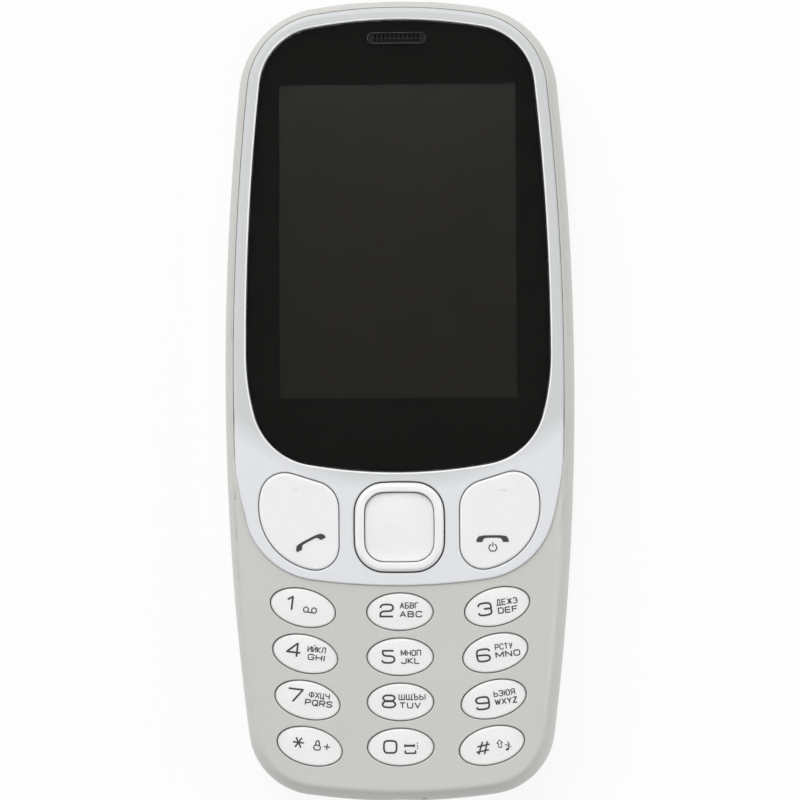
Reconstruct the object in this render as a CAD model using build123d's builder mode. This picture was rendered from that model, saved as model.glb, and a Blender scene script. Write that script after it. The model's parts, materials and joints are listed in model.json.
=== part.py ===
from build123d import *
from dataclasses import dataclass
import math
import os

os.makedirs("parts", exist_ok=True)

# Millimetres. The phone lies on its back: +Z out of the screen, +Y to the earpiece end,
# origin on the back face under the middle of the plan.

# Plan of the closed phone
phone_length = 116.4
phone_width = 50.8
widest_y = 2.5
top_corner_radius = 13.0
bottom_corner_radius = 10.0
top_lean = 4.3               # how far each end has curved back by the phone's sides
bottom_lean = 3.396
upper_side_lean = 3.74       # how far each side has curved in by the phone's ends
lower_side_lean = 4.55
half_width = phone_width / 2
top_end = phone_length / 2
low_end = -phone_length / 2

# Small sizes that many pieces share
overrun = 2.0                # how far a cut runs past what it cuts
edge_break = 0.2             # softened edge on small moulded and pressed parts
small_gap = 0.1              # gap between neighbours that are clipped or glued together

# Rear cover
cover_floor = 1.1
cover_wall = 1.3
cover_edge_radius = 5.5
cover_straight = 0.5         # upright band above the rounded back edge
cover_curl = 0.95            # how far the side leans in at the rim
rim_wall = 0.4
rim_lap = 0.2                # how far the rim rises past the housing skirt
rim_edge = 0.12
shelf_gap = 0.1
seam_gap = 0.15
lip_land = 0.8               # snap lip inside the rim
lip_height = 1.6
lip_clearance = 0.2

# Battery
battery_thickness = 5.0
battery_side_margin = 8.4    # from the phone's side
battery_low_margin = 23.5    # from the phone's low end
battery_speaker_gap = 5.2
battery_corner = 1.6
battery_edge = 0.8
battery_gap = 0.2
terminal_width = 2.0
terminal_pitch = 2.9
terminal_depth = 0.6

# Chassis frame
chassis_back_gap = 0.3
chassis_edge_radius = 3.2
chassis_back_wall = 1.2
chassis_wall = 0.8
bay_clearance = 0.4
bay_wall = 0.8
pillar_radius = 2.0

# Main board
board_thickness = 0.8
board_clearance = 0.15
shield_gap = 0.05
shield_wall = 0.2
shield_side_margin = 3.75    # margins inside the display panel above
shield_low_margin = 4.55
shield_high_margin = 3.25
shield_spacing = 3.0
shield_corner = 1.0

# Screws, head down in the back of the chassis
screw_radius = 0.7
screw_head_radius = 1.4
screw_head_height = 0.9
screw_sink = 1.0
screw_end_gap = 0.4
screw_slack = 0.05
head_slack = 0.2
recess_radius = 0.5
recess_depth = 0.5
boss_radius = 1.2
boss_slack = 0.2
top_screw_side = 9.8         # screw axes from the phone's side and ends
top_screw_end = 7.5
middle_screw_side = 4.8
middle_screw_rise = 14.7     # above the window's low end
bottom_screw_x = 6.9
bottom_screw_end = 4.9

# Keys: heights and fits
key_travel = 0.35
key_rest_gap = 0.05
dome_height = 0.3
dome_radius = 2.0
sheet_thickness = 0.1
sheet_hole_gap = 0.1
mat_lift = 0.6
mat_thickness = 0.45
mat_lap = 1.4                # how far the mat runs under the window
mat_low_margin = 6.3
mat_inset = 0.6              # mat edge inside the board edge
flange_thickness = 0.5
flange_lip = 0.4
flange_headroom = 0.35
plunger_radius = 0.9
plunger_slack = 0.3
nav_plunger_radius = 0.7
key_gap = 0.065              # gap from the middle line of the slot to either side
ring_gap = 0.1               # the same, round the navigation ring
select_gap = 0.06            # the same, round the select key

# Number keys
keypad_side_margin = 6.73    # from the side keys' tips to the phone's side
column_gap = 4.53
number_key_half_width = 2.72
number_key_rise = 0.1        # crown above the housing
number_key_crown_radius = 26.0
number_key_edge = 0.3
side_column_step = 0.295     # the side columns close in by this on each row
side_column_tilt = 14.1
keypad_first_row = 27.45     # middle of key 2 above the phone's low end
middle_pitch = 6.49
side_first_rise = 0.66
side_pitch = 6.65

# Call and end keys, each a rocker with a soft key at its top end
side_key_side_margin = 5.1
side_key_nav_gap = 2.18
side_key_rise_over_nav = 3.05
side_key_sweep = 9.3
side_key_top_offset = 3.2
side_key_top_slope = 17.5
side_key_top_radius = 3.65
side_key_inner_radius = 4.0
side_key_low_radius = 3.4
side_key_corner_share = 0.35  # no corner is rounder than this share of the key's width
side_key_rise = 0.1
side_key_edge = 0.35
side_plunger_share = 0.44     # of the key's width, from its inner side
side_plunger_upper = 4.65     # above and below the middle of the navigation ring
side_plunger_lower = 2.75

# Navigation ring and select key
nav_from_end = 39.65
ring_half = 6.52
ring_corner = 4.3
ring_side_radius = 60.0
ring_rise = 0.5
ring_outer_edge = 0.65
ring_inner_edge = 0.25
ring_underside_gap = 0.25
carrier_lip = 0.4
carrier_thickness = 0.4
select_half = 5.04
select_corner = 2.8
select_side_radius = 60.0
select_rise = 0.0
select_edge = 0.25
select_crown_radius = 45.0

# Front housing
housing_plate = 1.6
skirt_drop = 0.3
housing_edge = 1.15
key_opening_edge = 0.12

# Display bezel
bezel_ledge = 0.6
bezel_thickness = 1.4
bezel_outer_edge = 0.8
bezel_seam = 0.05            # between the bezel and the raised edge of the housing
bezel_fit = 0.03             # between the bezel's low edge and the housing
bezel_inner_edge = 0.25
bezel_from_end = 31.2        # low edge of the bezel above the phone's low end
bezel_widest_rise = 23.6
bezel_side_margin = 1.42
bezel_lower_side_radius = 55.8
bezel_bottom_corner_radius = 11.4
bezel_bottom_lean = 3.195    # how far the low edge has curved up by the bezel's sides
bezel_low_edge = 0.3
ledge_relief = 0.4           # the housing opens this much wider than the bezel round the keys

# Display window and what lies under it
window_thickness = 1.0
window_fit = 0.08
window_edge = 0.15
window_top_margin = 3.3
window_from_end = 47.5        # low edge of the window above the phone's low end
window_widest_rise = 17.1
window_side_margin = 3.35
window_top_corner_radius = 9.1
window_bottom_corner_radius = 9.85
window_lower_side_radius = 33.5
window_top_lean = 3.549
window_bottom_lean = 3.3075
window_upper_side_lean = 3.23
tape_thickness = 0.25
tape_inset = 0.15
view_side_margin = 4.9        # printed border from the window's edge to the view
view_top_margin = 9.25
view_low_margin = 10.75
view_corner = 0.4
gasket_thickness = 0.3
gasket_width = 1.3
panel_thickness = 0.75
panel_border = 1.6
panel_low_border = 3.6
backlight_thickness = 0.65
frame_floor = 0.25
frame_wall = 0.35
frame_fit = 0.1
frame_opening_gap = 0.3
flex_width = 11.0
flex_thickness = 0.12
flex_reach = 2.6
connector_height = 0.5
connector_depth = 2.2

# Earpiece
slot_length = 8.45
slot_width = 1.6
slot_drop = 2.7               # below the window's top
slot_rim = 0.3
grille_sink = 0.35
grille_thickness = 0.3
grille_hole_radius = 0.2
grille_hole_pitch = 0.62
receiver_length = 11.0
receiver_width = 4.4
receiver_gap = 0.15
receiver_height = 1.7

# Loudspeaker
speaker_drop = 14.0           # below the camera
speaker_length = 15.0
speaker_width = 11.0
speaker_height = 3.0
speaker_corner = 3.0
cone_length = 12.0
cone_width = 8.0
cone_depth = 0.8
grille_slot_length = 7.0
grille_slot_width = 1.0
grille_slot_pitch = 2.1
grille_slot_count = 6

# Camera
camera_end = 15.2
camera_half = 3.6
camera_height = 2.6
camera_barrel_radius = 2.6
camera_pupil_radius = 1.0
camera_pupil_depth = 0.8
camera_sight_radius = 3.0
lens_radius = 3.4
lens_thickness = 0.7
lens_sink = 0.15
camera_ring_width = 1.1
camera_ring_thickness = 0.55

# Sockets on the board underside
socket_height = 1.0
sim_spacing = 1.6
sim_side_margin = 1.0         # margins inside the plan of the battery below
sim_low_margin = 3.7
card_width = 12.4
card_length = 15.0
card_high_margin = 5.3
card_sim_gap = 4.0
tray_wall = 0.25
contacts_width = 9.5
contacts_depth = 1.5
contacts_height = 3.2
contact_finger_width = 1.1
contact_finger_reach = 0.2

# Charging socket at the earpiece end
usb_width = 7.6
usb_height = 2.7
usb_depth = 5.4
usb_shell = 0.3
usb_tongue_width = 3.8
usb_tongue_thickness = 0.6
usb_tongue_setback = 0.8
usb_door_margin = 1.0
usb_door_corner = 1.2

# Headset socket at the keypad end
jack_bore_radius = 1.75
jack_bore_length = 13.5
jack_width = 6.0
jack_length = 14.6
jack_floor_gap = 0.2
jack_door_radius = 3.2

# Vibration motor, shaft along X
motor_radius = 2.0
motor_length = 6.5
motor_jack_gap = 0.5
motor_end = 17.0
motor_floor_gap = 0.1
motor_shaft_radius = 0.4
weight_radius = 1.8
weight_length = 2.8
weight_gap = 0.3
weight_bore_slack = 0.06

# Microphone
mic_x = 3.3
mic_end = 5.0
mic_width = 3.2
mic_depth = 2.2
mic_height = 1.0
mic_port_radius = 0.45

# Antenna
antenna_side = 12.8
antenna_end = 13.4
antenna_width = 6.0
antenna_length = 9.6
antenna_floor_gap = 0.1
antenna_headroom = 0.1
strip_thickness = 0.2
strip_margin = 0.8
strip_slot = 0.9

# Keypad lamps
lamp_length = 1.6
lamp_width = 0.8
lamp_height = 0.4
lamp_hole_gap = 0.15

# Heights, from the back face up
battery_bottom = cover_floor + battery_gap
battery_top = battery_bottom + battery_thickness
board_bottom = battery_top + battery_gap + socket_height
board_top = board_bottom + board_thickness
plunger_bottom = board_top + dome_height + key_travel + key_rest_gap
mat_bottom = board_top + mat_lift
mat_top = mat_bottom + mat_thickness
flange_bottom = mat_top + key_travel + key_rest_gap
flange_top = flange_bottom + flange_thickness
plate_bottom = flange_top + flange_headroom
housing_top = plate_bottom + housing_plate
skirt_bottom = plate_bottom - skirt_drop
rim_top = skirt_bottom + rim_lap
shelf_z = skirt_bottom - shelf_gap
curl_start = cover_edge_radius + cover_straight
bezel_seat = plate_bottom + bezel_ledge
bezel_top = bezel_seat + bezel_thickness
tape_top = bezel_seat + tape_thickness
window_top = tape_top + window_thickness
panel_top = bezel_seat - gasket_thickness
panel_bottom = panel_top - panel_thickness
backlight_bottom = panel_bottom - backlight_thickness
frame_bottom = backlight_bottom - frame_floor
shield_height = frame_bottom - board_top - shield_gap
chassis_back = cover_floor + chassis_back_gap
chassis_floor = chassis_back + chassis_back_wall

# Places on the plan, from the phone's sides and ends
window_top_y = top_end - window_top_margin
window_bottom_y = low_end + window_from_end
window_half_width = half_width - window_side_margin
window_widest_y = window_bottom_y + window_widest_rise
slot_y = window_top_y - slot_drop
view_width = 2 * (window_half_width - view_side_margin)
view_high_y = window_top_y - view_top_margin
view_low_y = window_bottom_y + view_low_margin
view_height = view_high_y - view_low_y
view_center_y = (view_high_y + view_low_y) / 2
bezel_bottom_y = low_end + bezel_from_end
bezel_widest_y = bezel_bottom_y + bezel_widest_rise
nav_center_y = low_end + nav_from_end
side_key_inner_x = ring_half + side_key_nav_gap
side_key_width = half_width - side_key_side_margin - side_key_inner_x
side_key_center = (half_width - side_key_side_margin - side_key_sweep,
                   nav_center_y + side_key_rise_over_nav)
side_plunger_x = side_key_inner_x + side_plunger_share * side_key_width
middle_first_y = low_end + keypad_first_row
side_first_y = middle_first_y + side_first_rise
side_key_cosine = math.cos(math.radians(side_column_tilt))
number_key_half_length = ((half_width - keypad_side_margin - column_gap)
                          / (1 + 2 * side_key_cosine))
side_column_x = column_gap + number_key_half_length * (1 + side_key_cosine)
mat_top_y = window_bottom_y + mat_lap
mat_bottom_y = low_end + mat_low_margin
camera_y = top_end - camera_end
speaker_y = camera_y - speaker_drop
battery_width = 2 * (half_width - battery_side_margin)
battery_low_y = low_end + battery_low_margin
battery_high_y = speaker_y - speaker_width / 2 - battery_speaker_gap
battery_length = battery_high_y - battery_low_y
battery_y = (battery_low_y + battery_high_y) / 2
sim_width = (battery_width - sim_spacing) / 2 - sim_side_margin
sim_x = (sim_width + sim_spacing) / 2
card_y = battery_high_y - card_high_margin - card_length / 2
sim_length = battery_length - card_high_margin - card_length - card_sim_gap - sim_low_margin
sim_y = battery_low_y + sim_low_margin + sim_length / 2
motor_start_x = jack_width / 2 + motor_jack_gap
motor_y = low_end + motor_end
mic_y = low_end + mic_end
antenna_center = (antenna_side - half_width, low_end + antenna_end)

# Insets from the plan of the closed phone
pocket_inset = cover_curl + rim_wall
housing_inset = pocket_inset + seam_gap
lip_inset = housing_inset + lip_land
chassis_inset = lip_inset + lip_clearance
chassis_inner_inset = chassis_inset + chassis_wall
board_inset = chassis_inner_inset + board_clearance

middle_screw_x = half_width - middle_screw_side
middle_screw_y = window_bottom_y + middle_screw_rise
screw_places = [(side * x, y) for side in (-1, 1) for x, y in (
    (half_width - top_screw_side, top_end - top_screw_end),
    (middle_screw_x, middle_screw_y),
    (bottom_screw_x, low_end + bottom_screw_end))]


@dataclass
class Outline:
    """A closed plan of tangent arcs, the same on both sides of the Y axis."""
    top: float
    bottom: float
    half_width: float
    widest: float
    top_crown: float
    top_corner: float
    upper_side: float
    lower_side: float
    bottom_corner: float
    bottom_crown: float

    def inset(self, distance):
        return Outline(self.top - distance, self.bottom + distance, self.half_width - distance,
                       self.widest, *(radius - distance for radius in (
                           self.top_crown, self.top_corner, self.upper_side,
                           self.lower_side, self.bottom_corner, self.bottom_crown)))


def edge_radius(reach, lean):
    """Radius of an edge that curves in by lean over the given reach."""
    return reach**2 / (2 * lean)


plan = Outline(
    top_end, low_end, half_width, widest_y,
    top_crown=edge_radius(half_width, top_lean),
    top_corner=top_corner_radius,
    upper_side=edge_radius(top_end - widest_y, upper_side_lean),
    lower_side=edge_radius(widest_y - low_end, lower_side_lean),
    bottom_corner=bottom_corner_radius,
    bottom_crown=edge_radius(half_width, bottom_lean))
window_plan = Outline(
    window_top_y, window_bottom_y, window_half_width, window_widest_y,
    top_crown=edge_radius(window_half_width, window_top_lean),
    top_corner=window_top_corner_radius,
    upper_side=edge_radius(window_top_y - window_widest_y, window_upper_side_lean),
    lower_side=window_lower_side_radius,
    bottom_corner=window_bottom_corner_radius,
    bottom_crown=edge_radius(window_half_width, window_bottom_lean))
bezel_half_width = half_width - bezel_side_margin
bezel_plan = Outline(
    top_end, bezel_bottom_y, bezel_half_width, bezel_widest_y,
    top_crown=plan.top_crown,
    top_corner=plan.top_corner,
    upper_side=plan.upper_side,
    lower_side=bezel_lower_side_radius,
    bottom_corner=bezel_bottom_corner_radius,
    bottom_crown=edge_radius(bezel_half_width, bezel_bottom_lean))


def squircle(half, corner, side_radius):
    return Outline(half, -half, half, 0, side_radius, corner,
                   side_radius, side_radius, corner, side_radius)


ring_plan = squircle(ring_half, ring_corner, ring_side_radius)
select_plan = squircle(select_half, select_corner, select_side_radius)


def corner_center(crown, crown_reach, side, side_reach, up):
    """Where the circles about crown and side cross, on the right, above or below."""
    apart = side - crown
    span = apart.length
    along = (crown_reach**2 - side_reach**2 + span**2) / (2 * span)
    across = math.sqrt(crown_reach**2 - along**2)
    foot = crown + apart * (along / span)
    sideways = Vector(-apart.Y, apart.X) * (across / span)
    return max((foot + sideways, foot - sideways), key=lambda point: point.Y * up)


def outline_arcs(shape):
    """Start, middle and end of each arc on the right-hand half, from the top down."""
    top_center = Vector(0, shape.top - shape.top_crown)
    upper_center = Vector(shape.half_width - shape.upper_side, shape.widest)
    lower_center = Vector(shape.half_width - shape.lower_side, shape.widest)
    bottom_center = Vector(0, shape.bottom + shape.bottom_crown)
    top_corner = corner_center(top_center, shape.top_crown - shape.top_corner,
                               upper_center, shape.upper_side - shape.top_corner, 1)
    bottom_corner = corner_center(bottom_center, shape.bottom_crown - shape.bottom_corner,
                                  lower_center, shape.lower_side - shape.bottom_corner, -1)
    joints = [
        top_center + (top_corner - top_center).normalized() * shape.top_crown,
        upper_center + (top_corner - upper_center).normalized() * shape.upper_side,
        Vector(shape.half_width, shape.widest),
        lower_center + (bottom_corner - lower_center).normalized() * shape.lower_side,
        bottom_center + (bottom_corner - bottom_center).normalized() * shape.bottom_crown,
    ]
    bends = [(top_corner, shape.top_corner), (upper_center, shape.upper_side),
             (lower_center, shape.lower_side), (bottom_corner, shape.bottom_corner)]
    arcs = []
    for (center, radius), start, end in zip(bends, joints, joints[1:]):
        outward = ((start - center) + (end - center)).normalized()
        arcs.append((start, center + outward * radius, end))
    return arcs


def draw_outline(shape, inset=0.0, mode=Mode.ADD):
    """The outline as a face of the sketch that is open."""
    shape = shape.inset(inset)
    right = outline_arcs(shape)
    left = [[Vector(-point.X, point.Y) for point in arc] for arc in right]
    with BuildLine() as path:
        for arc in right + left:
            ThreePointArc(*arc)
        ThreePointArc(left[0][0], (0, shape.top), right[0][0])
        ThreePointArc(left[-1][2], (0, shape.bottom), right[-1][2])
    make_face(path.edges(), mode=mode)


def draw_side_key(side, grow):
    """Plan of the call key (side -1) or end key (side 1), grown by the given gap."""
    slope = math.radians(side_key_top_slope)
    sweep = side_key_sweep + grow
    offset_up = side_key_top_offset + grow
    inner_x = -side_key_inner_x + grow
    center = Vector(-side_key_center[0], side_key_center[1])
    along = Vector(math.cos(slope), -math.sin(slope))
    foot = center + Vector(math.sin(slope), math.cos(slope)) * offset_up
    outer = foot - along * math.sqrt(sweep**2 - offset_up**2)
    inner = foot + along * ((inner_x - foot.X) / along.X)
    low = Vector(inner_x, center.Y - math.sqrt(sweep**2 - (inner_x - center.X)**2))
    middle = center + Vector(-1, -1).normalized() * sweep
    outer, inner, low, middle = (Vector(-side * point.X, point.Y)
                                 for point in (outer, inner, low, middle))
    with BuildSketch(mode=Mode.PRIVATE) as key_plan:
        with BuildLine() as path:
            Line(outer, inner)
            Line(inner, low)
            ThreePointArc(low, middle, outer)
        make_face(path.edges())
        for point, radius in ((outer, side_key_top_radius), (inner, side_key_inner_radius),
                              (low, side_key_low_radius)):
            radius = min(radius, side_key_corner_share * side_key_width)
            fillet(key_plan.vertices().sort_by_distance(point)[0], radius=radius + grow)
    add(key_plan.sketch)


def number_key_places():
    """Name, place and tilt of the twelve number keys, row by row."""
    names = ("1", "2", "3", "4", "5", "6", "7", "8", "9", "star", "0", "hash")
    places = []
    for index, name in enumerate(names):
        row, column = divmod(index, 3)
        side = column - 1
        if side:
            place = (side * (side_column_x - row * side_column_step),
                     side_first_y - row * side_pitch)
        else:
            place = (0, middle_first_y - row * middle_pitch)
        places.append((name, place, side * side_column_tilt))
    return places


def draw_number_key(place, tilt, grow):
    with Locations(Location((*place, 0), (0, 0, tilt))):
        Ellipse(number_key_half_length + grow, number_key_half_width + grow)


number_keys = number_key_places()
nav_middle = (ring_half + select_half) / 2 + carrier_lip / 2
nav_plungers = [(nav_middle * dx, nav_center_y + nav_middle * dy)
                for dx, dy in ((1, 0), (-1, 0), (0, 1), (0, -1))]
side_plungers = {side: [(side * side_plunger_x, nav_center_y + rise)
                        for rise in (side_plunger_upper, -side_plunger_lower)]
                 for side in (-1, 1)}
press_places = ([place for _, place, _ in number_keys] + nav_plungers
                + [(0, nav_center_y)] + side_plungers[-1] + side_plungers[1])
lamp_places = [(side * side_column_x / 2, middle_first_y - (row + 0.5) * middle_pitch)
               for side in (-1, 1) for row in range(3)]
pieces = {}

# Rear cover: wraps the back and all four sides, and ends in a rim under the housing's edge
curl_radius = ((rim_top - curl_start)**2 + cover_curl**2) / (2 * cover_curl)
with BuildPart() as rear_cover:
    with BuildSketch():
        draw_outline(plan)
    extrude(amount=curl_start)
    fillet(rear_cover.faces().sort_by(Axis.Z)[0].edges(), radius=cover_edge_radius)
    for share in (0, 0.5, 1):
        level = (rim_top - curl_start) * share
        lean = curl_radius - math.sqrt(curl_radius**2 - level**2)
        with BuildSketch(Plane.XY.offset(curl_start + level)):
            draw_outline(plan, lean)
    loft()
    fillet(rear_cover.faces().sort_by(Axis.Z)[-1].edges(), radius=rim_edge)
    with BuildPart(mode=Mode.PRIVATE) as cavity:
        with BuildSketch(Plane.XY.offset(cover_floor)):
            draw_outline(plan, cover_wall)
        extrude(amount=shelf_z - lip_height - cover_floor)
        fillet(cavity.faces().sort_by(Axis.Z)[0].edges(), radius=cover_edge_radius - cover_wall)
    add(cavity.part, mode=Mode.SUBTRACT)
    with BuildSketch(Plane.XY.offset(shelf_z - lip_height)):
        draw_outline(plan, lip_inset)
    extrude(amount=rim_top, mode=Mode.SUBTRACT)
    with BuildSketch(Plane.XY.offset(shelf_z)):
        draw_outline(plan, pocket_inset)
    extrude(amount=rim_top, mode=Mode.SUBTRACT)
    with BuildSketch():
        with Locations((0, speaker_y)):
            with GridLocations(grille_slot_pitch, 0, grille_slot_count, 1):
                SlotOverall(grille_slot_length, grille_slot_width, rotation=90)
        with Locations((0, camera_y)):
            Circle(camera_sight_radius)
    extrude(amount=cover_floor, mode=Mode.SUBTRACT)
    with BuildSketch():
        with Locations((0, camera_y)):
            Circle(lens_radius + camera_ring_width + small_gap)
    extrude(amount=camera_ring_thickness, mode=Mode.SUBTRACT)
    with BuildSketch():
        with Locations((0, camera_y)):
            Circle(lens_radius + small_gap)
    extrude(amount=lens_sink + lens_thickness, mode=Mode.SUBTRACT)
    with BuildSketch(Plane.XZ.offset(-top_end)):
        with Locations((0, board_bottom - usb_height / 2)):
            RectangleRounded(usb_width + 2 * usb_door_margin, usb_height + 2 * usb_door_margin,
                             usb_door_corner)
    extrude(amount=chassis_inset + overrun, mode=Mode.SUBTRACT)
    jack_z = (chassis_floor + jack_floor_gap + board_bottom) / 2
    with BuildSketch(Plane.XZ.offset(-low_end)):
        with Locations((0, jack_z)):
            Circle(jack_door_radius)
        with Locations((mic_x, board_top + mic_height / 2)):
            Circle(mic_port_radius)
    extrude(amount=-chassis_inset - overrun, mode=Mode.SUBTRACT)
pieces["rear_cover"] = rear_cover

# Camera lens pane and the trim ring round it, both set in the rear cover
with BuildPart() as camera_lens_window:
    with BuildSketch(Plane.XY.offset(lens_sink)):
        with Locations((0, camera_y)):
            Circle(lens_radius)
    extrude(amount=lens_thickness)
    chamfer(camera_lens_window.faces().sort_by(Axis.Z)[0].edges(), length=edge_break / 2)
pieces["camera_lens_window"] = camera_lens_window

with BuildPart() as camera_ring:
    with BuildSketch():
        with Locations((0, camera_y)):
            Circle(lens_radius + camera_ring_width)
            Circle(lens_radius + small_gap, mode=Mode.SUBTRACT)
    extrude(amount=camera_ring_thickness)
    fillet(camera_ring.faces().sort_by(Axis.Z)[0].edges(), radius=edge_break)
pieces["camera_ring"] = camera_ring

# Chassis frame: tray under the board, with the battery bay open through it
bay_width = battery_width + 2 * bay_clearance
bay_length = battery_length + 2 * bay_clearance
bay_top_y = battery_y + bay_length / 2
with BuildPart() as chassis_frame:
    with BuildSketch(Plane.XY.offset(chassis_back)):
        draw_outline(plan, chassis_inset)
    extrude(amount=skirt_bottom - chassis_back)
    fillet(chassis_frame.faces().sort_by(Axis.Z)[0].edges(), radius=chassis_edge_radius)
    with BuildSketch(Plane.XY.offset(chassis_floor)):
        draw_outline(plan, chassis_edge_radius + chassis_inset)
    extrude(amount=board_bottom - chassis_floor, mode=Mode.SUBTRACT)
    with BuildSketch(Plane.XY.offset(chassis_floor + chassis_edge_radius / 2)):
        draw_outline(plan, chassis_inner_inset)
    extrude(amount=skirt_bottom, mode=Mode.SUBTRACT)
    with BuildSketch(Plane.XY.offset(chassis_floor)):
        with Locations((0, battery_y)):
            Rectangle(bay_width + 2 * bay_wall, bay_length + 2 * bay_wall)
        with Locations(*screw_places):
            Circle(pillar_radius)
        draw_outline(plan, chassis_inner_inset - small_gap, mode=Mode.INTERSECT)
    extrude(amount=board_bottom - chassis_floor)
    with BuildSketch(Plane.XY.offset(chassis_back)):
        with Locations((0, battery_y)):
            RectangleRounded(bay_width, bay_length, battery_corner)
        with Locations((0, bay_top_y)):
            Rectangle(contacts_width + 2 * small_gap, 2 * (contacts_depth + small_gap))
        with Locations((0, speaker_y)):
            RectangleRounded(cone_length, cone_width, speaker_corner / 2)
        with Locations((0, camera_y)):
            Circle(camera_sight_radius)
    extrude(amount=board_bottom, mode=Mode.SUBTRACT)
    with Locations(*[(x, y, chassis_back) for x, y in screw_places]):
        Cylinder(screw_head_radius + head_slack, screw_head_height + screw_sink,
                 align=(Align.CENTER, Align.CENTER, Align.MIN), mode=Mode.SUBTRACT)
        Cylinder(screw_radius + screw_slack, board_bottom,
                 align=(Align.CENTER, Align.CENTER, Align.MIN), mode=Mode.SUBTRACT)
    with BuildSketch(Plane.XZ.offset(-top_end)):
        with Locations((0, board_bottom)):
            Rectangle(usb_width + 2 * small_gap, usb_height + small_gap,
                      align=(Align.CENTER, Align.MAX))
    extrude(amount=chassis_inner_inset + usb_depth, mode=Mode.SUBTRACT)
    with BuildSketch(Plane.XZ.offset(-low_end)):
        with Locations((0, board_bottom)):
            Rectangle(jack_width + 2 * small_gap, board_bottom - jack_z + jack_width / 2,
                      align=(Align.CENTER, Align.MAX))
        with Locations((mic_x, board_top + mic_height / 2)):
            Circle(mic_port_radius)
    extrude(amount=-chassis_inset - chassis_edge_radius - overrun, mode=Mode.SUBTRACT)
pieces["chassis_frame"] = chassis_frame

# Screws that hold the chassis frame to the bosses of the front housing
with BuildPart() as housing_screws:
    head_bottom = chassis_back + screw_sink
    with Locations(*[(x, y, head_bottom) for x, y in screw_places]):
        Cylinder(screw_head_radius, screw_head_height,
                 align=(Align.CENTER, Align.CENTER, Align.MIN))
        Cylinder(screw_radius, plate_bottom - screw_end_gap - head_bottom,
                 align=(Align.CENTER, Align.CENTER, Align.MIN))
    with BuildSketch(Plane.XY.offset(head_bottom)):
        with Locations(*screw_places):
            RegularPolygon(recess_radius, 6)
    extrude(amount=recess_depth, mode=Mode.SUBTRACT)
pieces["housing_screws"] = housing_screws

# Front housing: the plate round the number keys, whose rounded edge lies on the cover's rim
# and frames the bezel, a ledge under the bezel, a skirt inside the rim, and screw bosses
opening_width = view_width + 2 * (panel_border + frame_wall + frame_fit + frame_opening_gap)
opening_top = (view_high_y + panel_border
               + frame_wall + frame_fit + frame_opening_gap)
opening_bottom = (view_low_y - panel_low_border
                  - frame_wall - frame_fit - frame_opening_gap)
with BuildPart() as front_housing:
    with BuildSketch(Plane.XY.offset(plate_bottom)):
        draw_outline(plan, cover_curl)
    extrude(amount=housing_plate)
    fillet(front_housing.faces().sort_by(Axis.Z)[-1].edges(), radius=housing_edge)
    with BuildSketch(Plane.XY.offset(skirt_bottom)):
        draw_outline(plan, housing_inset)
        draw_outline(plan, chassis_inner_inset, mode=Mode.SUBTRACT)
    extrude(amount=skirt_drop)
    with BuildSketch(Plane.XY.offset(bezel_seat)):
        draw_outline(bezel_plan, -bezel_fit)
        with Locations((0, bezel_widest_y)):
            Rectangle(phone_width, phone_length, align=(Align.CENTER, Align.MIN))
        draw_outline(plan, housing_inset - bezel_seam, mode=Mode.INTERSECT)
    extrude(amount=housing_top, mode=Mode.SUBTRACT)
    with BuildSketch(Plane.XY.offset(skirt_bottom)):
        for name, place, tilt in number_keys:
            draw_number_key(place, tilt, key_gap)
    extrude(amount=housing_top, mode=Mode.SUBTRACT)
    openings = front_housing.faces().filter_by(Plane.XY).group_by(Axis.Z)[-1]
    rims = [edge for face in openings for wire in face.inner_wires() for edge in wire.edges()]
    fillet(rims, radius=key_opening_edge)
    with BuildSketch(Plane.XY.offset(skirt_bottom)):
        with Locations((0, (opening_top + opening_bottom) / 2)):
            Rectangle(opening_width, opening_top - opening_bottom)
        with Locations((0, slot_y)):
            SlotOverall(slot_length - 2 * slot_rim, slot_width)
    extrude(amount=housing_top, mode=Mode.SUBTRACT)
    for side in (-1, 1):
        with BuildSketch(Plane.XY.offset(skirt_bottom)):
            draw_side_key(side, key_gap + ledge_relief)
        extrude(amount=housing_top, mode=Mode.SUBTRACT)
    with BuildSketch(Plane((0, nav_center_y, skirt_bottom))):
        draw_outline(ring_plan, -ring_gap - ledge_relief)
    extrude(amount=housing_top, mode=Mode.SUBTRACT)
    with Locations(*[(x, y, board_bottom) for x, y in screw_places]):
        Cylinder(boss_radius, plate_bottom - board_bottom + small_gap,
                 align=(Align.CENTER, Align.CENTER, Align.MIN))
        Cylinder(screw_radius + screw_slack, plate_bottom - board_bottom,
                 align=(Align.CENTER, Align.CENTER, Align.MIN), mode=Mode.SUBTRACT)
pieces["front_housing"] = front_housing

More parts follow.
